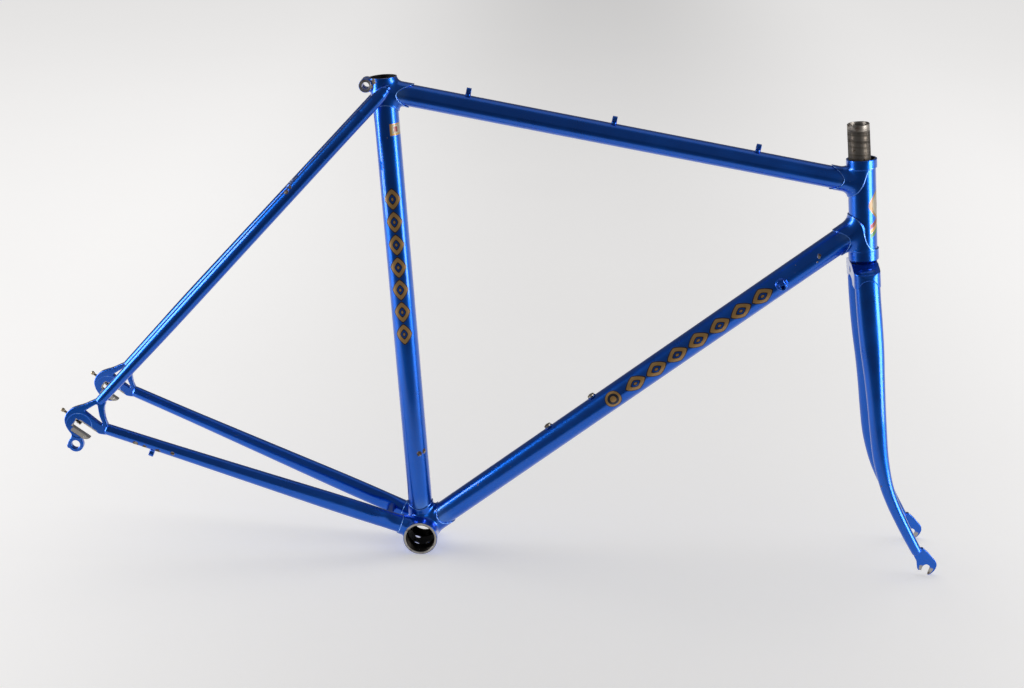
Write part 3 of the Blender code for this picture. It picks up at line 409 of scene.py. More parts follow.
def steel(name, light, dark, rust=0.0, roughness=(0.3, 0.48), turned=None, stretch=None):
    """Bare steel with stains and fine grain; turned is (origin, axis) for lathe lines."""
    graph = Graph(name)
    stain = graph.noise(60.0, 5.0, 0.62, stretch)
    looks = {"colour": graph.mix(graph.step(stain, 0.36, 0.66), (*light, 1.0), (*dark, 1.0)),
             "metallic": 0.95, "roughness": graph.step(stain, 0.3, 0.7, *roughness)}
    rusty = graph.step(graph.noise(110.0, 4.0, 0.6), 0.6 - rust, 0.72 - rust)
    graph.cover(rusty, looks, colour=RUSTED, metallic=0.35, roughness=0.7)
    height = graph.noise(900.0, 2.0, 0.6)
    if turned is not None:
        lines = graph.math("SINE", graph.times(graph.along(*turned), 9000.0))
        height = graph.plus(graph.times(lines, 0.25), height)
    graph.set("Base Color", looks["colour"])
    graph.set("Roughness", looks["roughness"])
    graph.set("Metallic", looks["metallic"])
    graph.set("Normal", graph.bump(height, 0.00004, 0.6))
    return graph.material


# --- distance fields ---
# Width of the painted highlight lines.
HIGHLIGHT_WIDTH = 0.0005
both, either = np.maximum, np.minimum  # where both of two shapes are, and where either is


def box_of(node, margin):
    """A CAD node's box with a margin."""
    low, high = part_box(node)
    return low - Vector((margin,) * 3), high + Vector((margin,) * 3)


class Field:
    """Grid over a CAD node's box in which signed distances are worked out, negative inside a shape."""

    def __init__(self, node, step, margin=0.002):
        self.node, self.step = node, step
        low, high = box_of(node, margin)
        self.low = np.array(low, float)
        counts = np.ceil((np.array(high, float) - self.low) / step).astype(int) + 1
        lines = [(self.low[i] + step * np.arange(counts[i])).astype(np.float32) for i in range(3)]
        self.x, self.y, self.z = np.meshgrid(*lines, indexing="ij", sparse=True)

    def along(self, origin, direction):
        return ((self.x - origin[0]) * direction[0] + (self.y - origin[1]) * direction[1]
                + (self.z - origin[2]) * direction[2])

    def from_line(self, origin, axis):
        """Distance from an endless line."""
        along = self.along(origin, axis)
        square = (self.x - origin[0]) ** 2 + (self.y - origin[1]) ** 2 + (self.z - origin[2]) ** 2
        return np.sqrt(np.maximum(square - along * along, 0))

    def rod(self, origin, axis, radius, low=None, high=None, edge=0.0004):
        """Cylinder about a line, with rounded rims at low and high along it."""
        radial = self.from_line(origin, axis) - radius
        if low is None:
            return radial
        along = self.along(origin, axis)
        return rounded(radial, np.abs(along - (low + high) / 2) - (high - low) / 2, edge)

    def side(self, origin, along):
        """Side-view coordinates from origin: along a direction and a quarter turn up from it."""
        x, z = self.x - origin[0], self.z - origin[2]
        return x * along[0] + z * along[2], z * along[0] - x * along[2]

    def chain(self, stations):
        """Round limb through (place, radius) stations."""
        total = None
        for (a, ra), (b, rb) in zip(stations, stations[1:]):
            line = b - a
            share = np.clip(self.along(a, line) / line.length_squared, 0, 1)
            square = sum((c - a[i] - share * line[i]) ** 2 for i, c in enumerate((self.x, self.y, self.z)))
            limb = np.sqrt(square) - (ra + (rb - ra) * share)
            total = limb if total is None else np.minimum(total, limb)
        return total

    def bore(self, origin, direction, radius, start=0.0):
        """Room for a tube that starts at a place along its line."""
        return both(self.rod(origin, direction, radius + GAP * 0.5), start - self.along(origin, direction))

    def piece(self, distance, material, painted_highlight=None, body="frame"):
        """Add the surface of a distance as the node's painted piece."""
        painted(self.mesh(distance, painted_highlight), self.node, material, body)

    def mesh(self, distance, painted_highlight=None):
        """Surface where the distance is zero; the last argument is the distance from the lines where a highlight
        is painted.
        """
        shape = np.broadcast_shapes(self.x.shape, self.y.shape, self.z.shape)
        grid = openvdb.FloatGrid(1.0)
        grid.copyFromArray(np.array(np.broadcast_to(distance, shape), np.float32))
        points, quads = grid.convertToQuads(0.0)
        made = bpy.data.meshes.new(self.node + "_shape")
        made.from_pydata((self.low + points * self.step).tolist(), [], quads.tolist())
        if painted_highlight is not None:
            near = np.clip(points.round().astype(int), 0, np.array(shape) - 1)
            value = np.abs(np.broadcast_to(painted_highlight, shape)[near[:, 0], near[:, 1], near[:, 2]])
            layer = made.attributes.new("painted_highlight", "FLOAT", "POINT")
            layer.data.foreach_set("value", np.clip(1.6 - value / HIGHLIGHT_WIDTH, 0, 1).astype(np.float32))
        return made


def nearest(*distances):
    """The smallest of some distances, signs left out."""
    return reduce(np.minimum, [np.abs(distance) for distance in distances])


def rounded(a, b, radius):
    """Where both shapes are, with the edge between them rounded."""
    a, b = a + radius, b + radius
    return np.minimum(np.maximum(a, b), 0) + np.sqrt(np.maximum(a, 0) ** 2 + np.maximum(b, 0) ** 2) - radius


def fused(a, b, width):
    """Both shapes joined with a fillet."""
    share = np.clip(0.5 + 0.5 * (b - a) / width, 0, 1)
    return b + (a - b) * share - width * share * (1 - share)


def less(a, b, radius=0.0003):
    """A shape with another one cut away."""
    return rounded(a, -b, radius)


def softened(outline, times=2):
    """Closed outline with its corners cut into curves."""
    for _ in range(times):
        points = []
        for i, (x, y) in enumerate(outline):
            u, v = outline[(i + 1) % len(outline)]
            points += [(x * 0.75 + u * 0.25, y * 0.75 + v * 0.25), (x * 0.25 + u * 0.75, y * 0.25 + v * 0.75)]
        outline = points
    return outline


def polygon(u, v, outline):
    """Signed distance of places (u, v) from a closed outline."""
    nearest, inside = None, None
    for i, (ax, ay) in enumerate(outline):
        bx, by = outline[i - 1]
        ex, ey = bx - ax, by - ay
        wx, wy = u - ax, v - ay
        share = np.clip((wx * ex + wy * ey) / max(ex * ex + ey * ey, 1e-14), 0, 1)
        square = (wx - ex * share) ** 2 + (wy - ey * share) ** 2
        above, below, turn = v >= ay, v < by, ex * wy > ey * wx
        flip = (above & below & turn) | (~above & ~below & ~turn)
        nearest = square if nearest is None else np.minimum(nearest, square)
        inside = flip if inside is None else inside ^ flip
    return np.where(inside, -1, 1) * np.sqrt(nearest)


def scallop(side_reach, low_reach, high_reach, radius, steps=16):
    """Concave end line of a socket, as an outline that covers the socket."""
    points = [(-0.04, -0.04), (side_reach + 0.01, -0.04)]
    for i in range(steps + 1):
        up = (-1 + 2 * i / steps) * radius
        reach = high_reach if up > 0 else low_reach
        points.append((side_reach + (reach - side_reach) * (abs(up) / radius) ** 2, up))
    return points + [(side_reach + 0.01, 0.04), (-0.04, 0.04)]


def socket(field, origin, direction, tube, reaches, edge=0.00045, root=0.0):
    """Socket sleeve round a tube with a scalloped end, and the distance from that end."""
    radius = tube + GAP + LUG_WALL
    sleeve = field.rod(origin, direction, radius, root, max(reaches) + 0.002, 0.0)
    u, v = field.side(origin, direction)
    end = polygon(u, v, scallop(*reaches, radius + 0.0006))
    return rounded(sleeve, end, edge), np.where(sleeve > 0.0006, 1.0, end)


# --- swept shapes ---
def grid_mesh(name, rings, closed=True, caps=True):
    """Mesh through rings of equal point counts; closed joins the last ring to the first."""
    count, sides = len(rings), len(rings[0])
    vertices = [tuple(point) for ring in rings for point in ring]
    faces = []
    for i in range(count if closed else count - 1):
        j = (i + 1) % count
        for k in range(sides):
            m = (k + 1) % sides
            faces.append((i * sides + k, i * sides + m, j * sides + m, j * sides + k))
    if not closed and caps:
        faces.append(tuple(range(sides))[::-1])
        faces.append(tuple((count - 1) * sides + k for k in range(sides)))
    made = bpy.data.meshes.new(name)
    made.from_pydata(vertices, [], faces)
    body = bmesh.new()
    body.from_mesh(made)
    bmesh.ops.recalc_face_normals(body, faces=body.faces)
    for edge in body.edges:
        edge.smooth = edge.calc_face_angle(0.0) < radians(40)
    body.to_mesh(made)
    body.free()
    return made


def across_axis(axis):
    """Two directions square to an axis and to each other."""
    side = Y_AXIS if abs(axis.y) < 0.9 else Vector((0, 0, 1))
    y = (side - axis * side.dot(axis)).normalized()
    return y.cross(axis), y


def turns_of(sides):
    return [2 * pi * k / sides for k in range(sides)]


def circle(centre, axis, radius, sides):
    x, y = across_axis(axis)
    return [centre + x * (radius * cos(t)) + y * (radius * sin(t)) for t in turns_of(sides)]


def onto(point, direction, origin, axis, radius):
    """Point moved along a direction until it lies on the far side of a cylinder."""
    w = point - origin
    lean = direction.dot(axis)
    a = 1 - lean * lean
    b = 2 * (w.dot(direction) - w.dot(axis) * lean)
    c = w.length_squared - w.dot(axis) ** 2 - radius * radius
    return point + direction * ((-b + sqrt(max(b * b - 4 * a * c, 0))) / (2 * a))


def tube(name, start, end, outer, inner, sides=84, start_on=None, end_on=None, rows=20):
    """Open tube; start_on and end_on are (origin, axis, radius) of the tubes its ends are mitred to."""
    axis = (end - start).normalized()
    length = (end - start).length

    def ring(radius, share):
        points = circle(start + axis * (length * share), axis, radius, sides)
        if share == 0 and start_on:
            points = [onto(p, axis, *start_on) for p in points]
        if share == 1 and end_on:
            points = [onto(p, -axis, *end_on) for p in points]
        return points

    shares = [0] + [0.06 + 0.88 * i / rows for i in range(rows + 1)] + [1]
    rings = [ring(outer, s) for s in shares] + [ring(inner, s) for s in shares[::-1]]
    return grid_mesh(name, rings)


def through(values, share):
    """Catmull-Rom curve through evenly numbered values at a place from 0 to the last."""
    i = min(int(share), len(values) - 2)
    t = share - i
    a, b, c, d = (values[min(max(i + k, 0), len(values) - 1)] for k in (-1, 0, 1, 2))
    curve = (a * 2 - b * 5 + c * 4 - d) * t ** 2 + (b * 3 - a - c * 3 + d) * t ** 3
    return (b * 2 + (c - a) * t + curve) * 0.5


def limb(name, stations, sides=64, per_span=8, dents=(), dome=0.55):
    """Closed round or oval limb through (centre, tall, across) stations, with domed ends.

    Each dent is (place share from 0 to 1, half length share, depth, side sign, up): a hollow in one side.
    """
    count = (len(stations) - 1) * per_span
    columns = [[Vector(s[0]) for s in stations], [s[1] for s in stations], [s[2] for s in stations]]
    rows = [[through(column, i / per_span) for column in columns] for i in range(count + 1)]

    def path_at(i):
        return (rows[min(i + 1, count)][0] - rows[max(i - 1, 0)][0]).normalized()

    def ring(i, turn=0.0, way=1):
        """Ring at row i, or a smaller one past it on the dome."""
        centre, tall, across = rows[i]
        path, share, narrow = path_at(i), i / count, cos(turn)
        centre = centre + path * (way * tall * dome * sin(turn))
        normal = Y_AXIS.cross(Vector((path.x, 0.0, path.z)).normalized())
        points = []
        for t in turns_of(sides):
            point = centre + normal * (tall * narrow * cos(t)) + Y_AXIS * (across * narrow * sin(t))
            for place, half, depth, sign, up in dents:
                near = exp(-((share - place) / half) ** 2) * max(sin(t) * sign, 0.0) ** 2
                point += (normal * (up * cos(t)) - Y_AXIS * sign) * (depth * near)
            points.append(point)
        return points

    dome_turns = [pi / 2 * k / 6.3 for k in range(1, 7)]
    rings = [ring(0, turn, -1) for turn in dome_turns[::-1]]
    rings += [ring(i) for i in range(count + 1)] + [ring(count, turn) for turn in dome_turns]
    return grid_mesh(name, rings, closed=False)


def threaded(name, origin, axis, rows, sides=64):
    """Ring-shaped body from (height, radius, depth, pitch) rows outside and in; depth cuts a thread."""
    x, y = across_axis(axis)
    rings = []
    for height, radius, depth, pitch in rows:
        points = []
        for k, turn in enumerate(turns_of(sides)):
            wave = abs(((height / pitch - k / sides) % 1.0) * 2 - 1) if depth else 0.0
            r = radius - depth * min(max(wave * 1.3 - 0.15, 0.0), 1.0)
            points.append(origin + axis * height + x * (r * cos(turn)) + y * (r * sin(turn)))
        rings.append(points)
    return grid_mesh(name, rings)


# --- adding pieces ---
def add(mesh, body, material, slot, *nodes):
    """Put a mesh in the scene as a piece that rides on a body and stands for CAD nodes."""
    made = bpy.data.objects.new(mesh.name, mesh)
    bpy.context.scene.collection.objects.link(made)
    mesh.materials.append(material)
    mesh.polygons.foreach_set("use_smooth", [True] * len(mesh.polygons))
    mesh.update()
    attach(made, body)
    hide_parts(*nodes)


def painted(mesh, node, material, body="frame"):
    """Add a mesh as the painted piece of one CAD node."""
    add(mesh, body, material, "blue_paint", node)


LUG_PAINT = paint("blue_paint_lug", extra_wear=0.015)


# --- main tubes ---
def bore_darkening_mask(*bores):
    """Mask function for the inside of bores given as (origin, axis, radius)."""
    def mask(graph):
        return graph.either([graph.step(graph.across(origin, axis), radius - 0.0002, radius, 1.0, 0.0)
                             for origin, axis, radius in bores])
    return mask


def make_tubes():
    seat_line = (BRACKET, SEAT_DIR, SEAT_RADIUS + GAP)
    head_line = (*HEAD_LINE, HEAD_RADIUS + GAP)
    in_shell = (*AXLE_LINE, 0.0232)
    seat_chips = [(BRACKET + SEAT_DIR * 0.1015 + Vector((0.0055, -0.0132, 0)), 0.0034),
                  (BRACKET + SEAT_DIR * 0.1035 + Vector((0.011, -0.0091, 0)), 0.003)]
    down_chips = [(BRACKET + DOWN_DIR * 0.579 - Y_AXIS * 0.0139 + DOWN_UP * 0.003, 0.0026),
                  (BRACKET + DOWN_DIR * 0.5735 - Y_AXIS * 0.0139 - DOWN_UP * 0.002, 0.0012)]
    seat = tube("seat_tube_shape", BRACKET + SEAT_DIR * TUBE_START, SEAT_RIM - SEAT_DIR * 0.003,
                SEAT_RADIUS, SEAT_RADIUS - TUBE_WALL)
    painted(seat, "seat_tube", paint("blue_paint_seat_tube", seat_tube_marks, seat_chips,
                                     bore_darkening=bore_darkening_mask(in_shell, (BRACKET, SEAT_DIR, 0.0138))))
    top = tube("top_tube_shape", SEAT_NODE, HEAD_NODE, TOP_RADIUS, TOP_RADIUS - TUBE_WALL,
               start_on=seat_line, end_on=head_line)
    painted(top, "top_tube", paint("blue_paint_plain"))
    down = tube("down_tube_shape", BRACKET + DOWN_DIR * TUBE_START, DOWN_NODE,
                DOWN_RADIUS, DOWN_RADIUS - TUBE_WALL, start_on=(*AXLE_LINE, 0.019), end_on=head_line)
    painted(down, "down_tube", paint("blue_paint_down_tube", down_tube_marks, down_chips,
                                     bore_darkening=bore_darkening_mask(in_shell)))
    head = tube("head_tube_shape", RACE_SEAT, HEAD_TOP, HEAD_RADIUS, HEAD_BORE)
    painted(head, "head_tube", paint("blue_paint_head_tube", head_badge_marks,
                                     bore_darkening=bore_darkening_mask((*HEAD_LINE, 0.0153))))


# --- lugs ---
UPPER_EDGE = mm((18, 20), (8, 18.5), (5, 15), (2.5, 9), (-0.5, 2.5), (-3.5, -3), (-7, -8), (-11, -11.5),
                (-15, -14), (-20, -16), (-30, -16), (-30, 30), (18, 30))
LOWER_EDGE = mm((-40, -34), (-20, -34), (-14, -35.5), (-9, -38), (-5, -44), (-2.5, -52), (0, -61), (3, -69),
                (7.5, -75), (18, -76), (18, -90), (-40, -90))
SEAT_EDGE = mm((-17, -27.4), (-13, -20.4), (-7, -16.1), (0, -14.9), (7, -16.1), (13, -20.4), (17, -27.4),
               (25, 30), (-25, 30))
LUG_STEP = 0.00042


def head_lug(node, edge, ring, wrap, origin, direction, radius, reaches):
    """Lug of the head tube: a ring at its end, a wrap behind a curved edge and a filleted socket."""
    field = Field(node, LUG_STEP)
    wrap = field.rod(*HEAD_LINE, HEAD_RADIUS + GAP + LUG_WALL, *wrap, 0.0)
    line = polygon(*field.side(HEAD_NODE, HEAD_AHEAD), softened(edge))
    sleeve, end = socket(field, origin, direction, radius, reaches)
    ring = field.rod(*HEAD_LINE, HEAD_RADIUS + GAP + RING_WALL, *ring, 0.0005)
    lug = fused(fused(rounded(wrap, line, 0.00045), sleeve, 0.007), ring, 0.001)
    lug = less(lug, field.rod(*HEAD_LINE, HEAD_RADIUS + GAP * 0.5), 0.0)
    lug = less(lug, field.bore(origin, direction, radius), 0.0)
    # Light blue highlight is painted along the lug's edge line and socket end.
    field.piece(lug, LUG_PAINT, nearest(np.where(wrap > 0.0006, 1.0, line), end))


def make_head_lugs():
    head_lug("upper_head_lug", UPPER_EDGE, (0.018, HEAD_ABOVE), (-0.017, 0.0185),
             HEAD_NODE, -TOP_DIR, TOP_RADIUS, (0.0225, 0.041, 0.037))
    head_lug("lower_head_lug", LOWER_EDGE, (-HEAD_BELOW, -0.076), (-0.077, -0.03),
             DOWN_NODE, -DOWN_DIR, DOWN_RADIUS, (0.021, 0.033, 0.0425))


EAR_LINE = (SEAT_NODE + SEAT_DIR * 0.0079 - SEAT_AHEAD * 0.0196, Y_AXIS)


def ear_faces(graph):
    """Bare faces of the binder ears and a worn seat lug rim."""
    outside = graph.step(graph.size(graph.along(*EAR_LINE)), 0.0099, 0.0102)
    near = graph.ragged(graph.across(*EAR_LINE), 0.001)
    rim = graph.step(graph.size(graph.along(SEAT_RIM, SEAT_DIR)), 0.0002, 0.0005, 0.75, 0.0)
    return graph.larger(rim, graph.times(outside, graph.step(near, 0.007, 0.0073, 1.0, 0.0)))


def make_seat_lug():
    """Seat lug with split binder ears."""
    field = Field("seat_lug", LUG_STEP)
    sleeve = field.rod(*SEAT_LINE, SEAT_RADIUS + GAP + LUG_WALL, -0.0284, 0.0161, 0.0005)
    line = polygon(*field.side(SEAT_NODE, SEAT_AHEAD), softened(SEAT_EDGE, 1))
    socket_sleeve, end = socket(field, *TOP_LINE, TOP_RADIUS, (0.015, 0.033, 0.035))
    lug = fused(rounded(sleeve, line, 0.00045), socket_sleeve, 0.006)
    lug = fused(lug, field.rod(*EAR_LINE, 0.0077, -0.0105, 0.0105, 0.0005), 0.004)
    lug = rounded(lug, field.along(SEAT_RIM, SEAT_DIR), 0.0004)
    lug = less(lug, field.rod(*SEAT_LINE, SEAT_RADIUS + GAP * 0.5), 0.0)
    lug = less(lug, field.bore(*TOP_LINE, TOP_RADIUS), 0.0)
    lug = less(lug, field.rod(*EAR_LINE, 0.0042), 0.0004)
    slot = both(np.abs(field.y) - 0.0014, field.along(SEAT_NODE - SEAT_AHEAD * 0.008, SEAT_AHEAD))
    lug = less(lug, both(slot, -field.along(SEAT_NODE - SEAT_DIR * 0.01, SEAT_DIR)), 0.0004)
    chips = [(SEAT_NODE + SEAT_DIR * 0.012 + Vector((-0.01, -0.0125, 0.0)), 0.0034),
             (SEAT_NODE + SEAT_DIR * 0.006 + Vector((-0.012, -0.011, 0.0)), 0.002)]
    material = paint("blue_paint_seat_lug", chips=chips, zone=ear_faces,
                     bore_darkening=bore_darkening_mask((*SEAT_LINE, 0.0148)), extra_wear=0.02)
    # Light blue highlight is painted along the lug's edge line and socket end.
    field.piece(lug, material, nearest(np.where(sleeve > 0.0006, 1.0, line), end))


CAP_SIZES = mm((-10, 7.1), (4, 7.5), (20, 7.5), (29, 6.9), (35, 5.7), (39.5, 3.8))  # along and radius


def make_seatstay_caps():
    for name, sign in SIDES.items():
        field = Field("seatstay_cap_" + name, 0.00035)
        cap = field.chain([(seatstay_point(CAP_START + a, sign) - Y_AXIS * sign * (0.0075 - r) * 0.5, r)
                           for a, r in CAP_SIZES])
        line = line_of(seatstay_point, sign)[1]
        cap = both(cap, -field.along(seatstay_point(CAP_START - 0.0015, sign), line))
        # Light blue highlight painted along the crease where the cap meets the lug.
        crease_highlight = nearest(field.rod(*SEAT_LINE, SEAT_RADIUS + GAP + LUG_WALL),
                         field.rod(*TOP_LINE, TOP_RADIUS + GAP + LUG_WALL)) - 0.0003
        field.piece(cap, LUG_PAINT, crease_highlight)


WINDOWS = mm((-7, 11), (-7, -8), (8.5, -8))
WINDOW_RADIUS, WINDOW_STRETCH = 0.0038, 1.35


def ring_faces(graph):
    """Bare end faces of the bracket shell."""
    outside = graph.step(graph.size(graph.along(*AXLE_LINE)), SHELL_HALF - 0.0005, SHELL_HALF - 0.0002)
    near = graph.ragged(graph.across(*AXLE_LINE), 0.0006)
    return graph.times(outside, graph.step(near, 0.0198, 0.0201, 1.0, 0.0))


def make_bracket_shell():
    field = Field("bottom_bracket_shell", 0.00052)
    lug = field.rod(*AXLE_LINE, SHELL_RADIUS, -SHELL_HALF, SHELL_HALF, 0.0006)
    lines = []
    for direction, reaches in ((SEAT_DIR, (0.03, 0.037, 0.037)), (DOWN_DIR, (0.0265, 0.04, 0.037))):
        sleeve, end = socket(field, BRACKET, direction, SEAT_RADIUS, reaches, root=0.005)
        lug = fused(lug, sleeve, 0.005)
        lines.append(end)
    stays = [line_of(chainstay_point, sign) for sign in SIDES.values()]
    for stay in stays:
        sleeve = field.rod(*stay, CHAINSTAY_ROOT + GAP + LUG_WALL, 0.004, 0.0275, 0.0005)
        lug = fused(lug, sleeve, 0.004)
        lines.append(np.where(sleeve > 0.0006, 1.0, field.along(*stay) - 0.0272))
    lug = both(lug, np.abs(field.y) - SHELL_HALF)
    lug = less(lug, field.rod(*AXLE_LINE, SHELL_BORE), 0.0006)
    for direction in (SEAT_DIR, DOWN_DIR):
        lug = less(lug, field.bore(BRACKET, direction, SEAT_RADIUS), 0.0)
    for stay in stays:
        lug = less(lug, field.bore(*stay, CHAINSTAY_ROOT, 0.002), 0.0)
    for x, y in WINDOWS:
        far = np.sqrt((field.x - BRACKET.x - x) ** 2 + ((field.y - y) / WINDOW_STRETCH) ** 2)
        lug = less(lug, both(far - WINDOW_RADIUS, field.z - BRACKET.z), 0.0005)
    lug = both(lug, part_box("bottom_bracket_shell")[0].z - field.z)
    material = paint("blue_paint_bracket", zone=ring_faces, bore_darkening=bore_darkening_mask((*AXLE_LINE, 0.0201)),
                     extra_wear=0.01)
    # Light blue highlight is painted along the sockets' ends.
    field.piece(lug, material, nearest(*lines))


def make_bracket_threads():
    # Near-black steel, as dark as the bore it sits in.
    inner = steel("bracket_thread_steel", (0.022, 0.02, 0.018), (0.008, 0.007, 0.006), rust=0.02,
                  roughness=(0.35, 0.6))
    rows = [(0.0, 0.01735, 0, 1), (0.0215, 0.01735, 0, 1), (0.022, 0.017, 0, 1)]
    rows += [(0.0216 - i * THREAD_PITCH / 5, 0.0172, 0.0005, THREAD_PITCH) for i in range(100)]
    for name, sign in SIDES.items():
        start = BRACKET + Y_AXIS * sign * 0.0115
        add(threaded("bracket_thread_" + name, start, Y_AXIS * sign, rows, 72), "frame", inner, "blue_paint")


# --- rear triangle ---
CHAINSTAY_SIZES = mm(  # along, half height and half width
    (23.5, 10.8, 10.8), (45, 10.9, 10.4), (80, 11.2, 8.8), (120, 10.8, 8.7), (180, 9.6, 8.8), (250, 8.3, 8.2),
    (320, 7.2, 7.1), (CHAINSTAY_LENGTH * 1000, 6.7, 6.7))
SEATSTAY_SIZES = mm((0, 5.7), (60, 6.6), (130, 7.5), (260, 7.5), (380, 7.5), (CAP_START * 1000, 7.5))
CHAINSTAY_CHIPS = mm(  # along, out, up and radius
    (356, 5.5, -4.2, 3.4), (345, 5.5, -4.6, 2.7), (329, 5.5, -4.6, 3.2), (310.5, 7, -1.2, 2.5))


def make_stays():
    for name, sign in SIDES.items():
        stations = [(chainstay_point(a, sign), tall, across) for a, tall, across in CHAINSTAY_SIZES]
        dents = [(0.17, 0.06, 0.0034, -sign, -0.2)]
        if name == "right":
            dents.append((0.14, 0.045, 0.003, sign, -0.2))
        chips = [(chainstay_point(a, sign) + Vector((0.0, out * sign, up)), radius)
                 for a, out, up, radius in CHAINSTAY_CHIPS]
        painted(limb("chainstay_%s_shape" % name, stations, dents=dents), "chainstay_" + name,
                paint("blue_paint_chainstay_" + name, chips=chips, extra_wear=0.012))
        stations = [(seatstay_point(a, sign), r, r) for a, r in SEATSTAY_SIZES]
        chips = [(seatstay_point(0.333, sign) + Vector((-0.004, 0.006 * sign, 0.003)), 0.003),
                 (seatstay_point(0.341, sign) + Vector((-0.005, 0.005 * sign, 0.002)), 0.0022)]
        painted(limb("seatstay_%s_shape" % name, stations, per_span=5), "seatstay_" + name,
                paint("blue_paint_seatstay_" + name, chips=chips))


def make_brake_bridge():
    along = 0.331
    middle = (seatstay_point(along, 1) + seatstay_point(along, -1)) / 2
    field = Field("brake_bridge", 0.0004, 0.006)
    axis = mount_axis("rear_brake_face")
    boss = field.rod(middle, axis, 0.0068, -0.0075, 0.0075, 0.0006)
    bridge = fused(field.rod(middle, Y_AXIS, 0.0052), boss, 0.003)
    outside = np.abs(field.y) - abs(seatstay_point(along, 1).y)
    for sign in SIDES.values():
        stay = field.rod(*line_of(seatstay_point, sign), SEATSTAY_RADIUS - 0.0001)
        on_side = field.y * sign > 0
        bridge = both(fused(bridge, stay + 0.0006, 0.005), np.where(on_side, outside, -1.0))
        bridge = both(bridge, np.where(on_side, -(stay + 0.0004), -1.0))
    field.piece(less(bridge, field.rod(middle, axis, 0.0031), 0.0004), LUG_PAINT)


def make_chainstay_bridge():
    middle = (chainstay_point(0.043, 1) + chainstay_point(0.043, -1)) / 2
    half = chainstay_point(0.043, 1).y - CHAINSTAY_ROOT + 0.0006
    field = Field("chainstay_bridge", 0.0004, 0.003)
    bar = field.rod(middle, Y_AXIS, 0.005, -half, half, 0.0)
    for sign in SIDES.values():
        stay = field.rod(*line_of(chainstay_point, sign), 0.0104)
        bar = both(fused(bar, stay + 0.001, 0.004), -stay)
    field.piece(both(bar, np.abs(field.y) - half), LUG_PAINT)


SLOT_DIR = Vector((cos(radians(-35.5)), 0.0, sin(radians(-35.5))))
ADJUSTER_DIR = Vector(JOINTS["adjuster_travel_left"]["axis"]).normalized()
SLOT_END = (-0.3996, 0.1521)
SLOT_HALF = 0.0052
HANGER_CENTRE = (-0.4, 0.1247)
BACK = mm((-378.5, 178.5), (-388, 174), (-397, 171.3), (-403.5, 168.5), (-408, 164), (-410.8, 159),
          (-411.7, 154), (-410.5, 147.5), (-407.5, 141.5), (-404, 137))
WINDOW = mm((-386.8, 165.5), (-387.2, 166.2), (-386.2, 166.8), (-373.8, 174.5), (-372.2, 174.8),
            (-371.2, 173.8), (-370.8, 168), (-369.8, 160), (-366.5, 151.5), (-366.8, 149.8), (-368.8, 150))


HANGER_FOOT = mm((-404, 133.5), (-400, 132.5), (-393, 132), (-390.5, 132))
PLAIN_FOOT = mm((-400, 133.5), (-394.5, 131.2))
JAWS_AND_TANGS = mm(  # the tangs reach into the stays' ends
    (-386.5, 131.2), (-383.3, 132.2), (-381.2, 134.5), (-376, 139.5), (-370, 138.2), (-361.5, 137.2),
    (-359, 142), (-359.8, 148), (-362.6, 154.5), (-363.7, 160.5), (-364, 170), (-361.5, 177),
    (-364.5, 181), (-370, 182.5))
HANGER_TAB = mm((-410.5, 124), (-410, 120.5), (-404, 118), (-403, 126))


def dropout_flat(u, v, hanger):
    """Side-view distance of a dropout with its slot, its window and, on the right, the derailleur hanger."""
    flat = polygon(u, v, softened(BACK + (HANGER_FOOT if hanger else PLAIN_FOOT) + JAWS_AND_TANGS, 1))
    su = (u - SLOT_END[0]) * SLOT_DIR.x + (v - SLOT_END[1]) * SLOT_DIR.z
    sv = (v - SLOT_END[1]) * SLOT_DIR.x - (u - SLOT_END[0]) * SLOT_DIR.z
    slot = rounded(-su, np.abs(sv) - SLOT_HALF, 0.0014)
    if hanger:
        eye = np.sqrt((u - HANGER_CENTRE[0]) ** 2 + (v - HANGER_CENTRE[1]) ** 2)
        flat = either(fused(flat, eye - 0.0092, 0.005), polygon(u, v, HANGER_TAB))
        flat = both(flat, 0.005 - eye)
    return rounded(both(flat, -slot), -polygon(u, v, softened(WINDOW)), 0.0)


def jaw_faces(slot_at):
    """Mask function for a dropout's bare slot edges and lower jaw."""
    def mask(graph):
        along = graph.ragged(graph.along(slot_at, SLOT_DIR), 0.005)
        across = graph.ragged(graph.along(slot_at, up_of(SLOT_DIR)), 0.0016)
        low = graph.times(graph.inside(along, 0.0015, 0.04, 0.0005),
                          graph.inside(across, -0.0112, -SLOT_HALF + 0.0006, 0.0004))
        high = graph.times(graph.inside(along, 0.003, 0.027, 0.0005),
                           graph.inside(across, SLOT_HALF - 0.0008, SLOT_HALF + 0.0018, 0.0003))
        end = graph.times(graph.inside(along, -0.0012, 0.002, 0.0004),
                          graph.inside(across, -SLOT_HALF - 0.0004, SLOT_HALF + 0.0004, 0.0003))
        return graph.larger(end, graph.larger(low, high))
    return mask


def make_dropouts():
    for name, sign in SIDES.items():
        field = Field("rear_dropout_" + name, 0.0004, 0.004)
        u, v = field.x - BRACKET.x, field.z - BRACKET.z
        outer = np.abs(field.y - sign * REAR_HALF)
        plate = rounded(dropout_flat(u, v, name == "right"), outer - 0.0035, 0.0009)
        step = np.sqrt((u + 0.3945) ** 2 + (v - 0.1483) ** 2) - 0.015
        plate = less(plate, both(step, 0.0031 - outer), 0.0002)
        start = Vector(JOINTS["adjuster_turn_" + name]["pos_m"])
        plate = less(plate, field.rod(start, ADJUSTER_DIR, 0.0018, -0.002, 0.0232, 0.0), 0.0002)
        field.piece(plate, paint("blue_paint_dropout_" + name, zone=jaw_faces(at(SLOT_END, sign * REAR_HALF)),
                                 extra_wear=0.02))
        make_adjuster(name, start)


ADJUSTER_HEAD = 0.0258  # from the cap, where the screw's start is, to its head
CAP_PROFILE = mm(  # height and radius
    (0.3, 0.4), (0.3, 1.8), (0.1, 2.1), (-0.3, 2.25), (-0.7, 2.3), (-2.7, 2.3), (-3, 2.1), (-3.4, 2),
    (-3.4, 1.6))


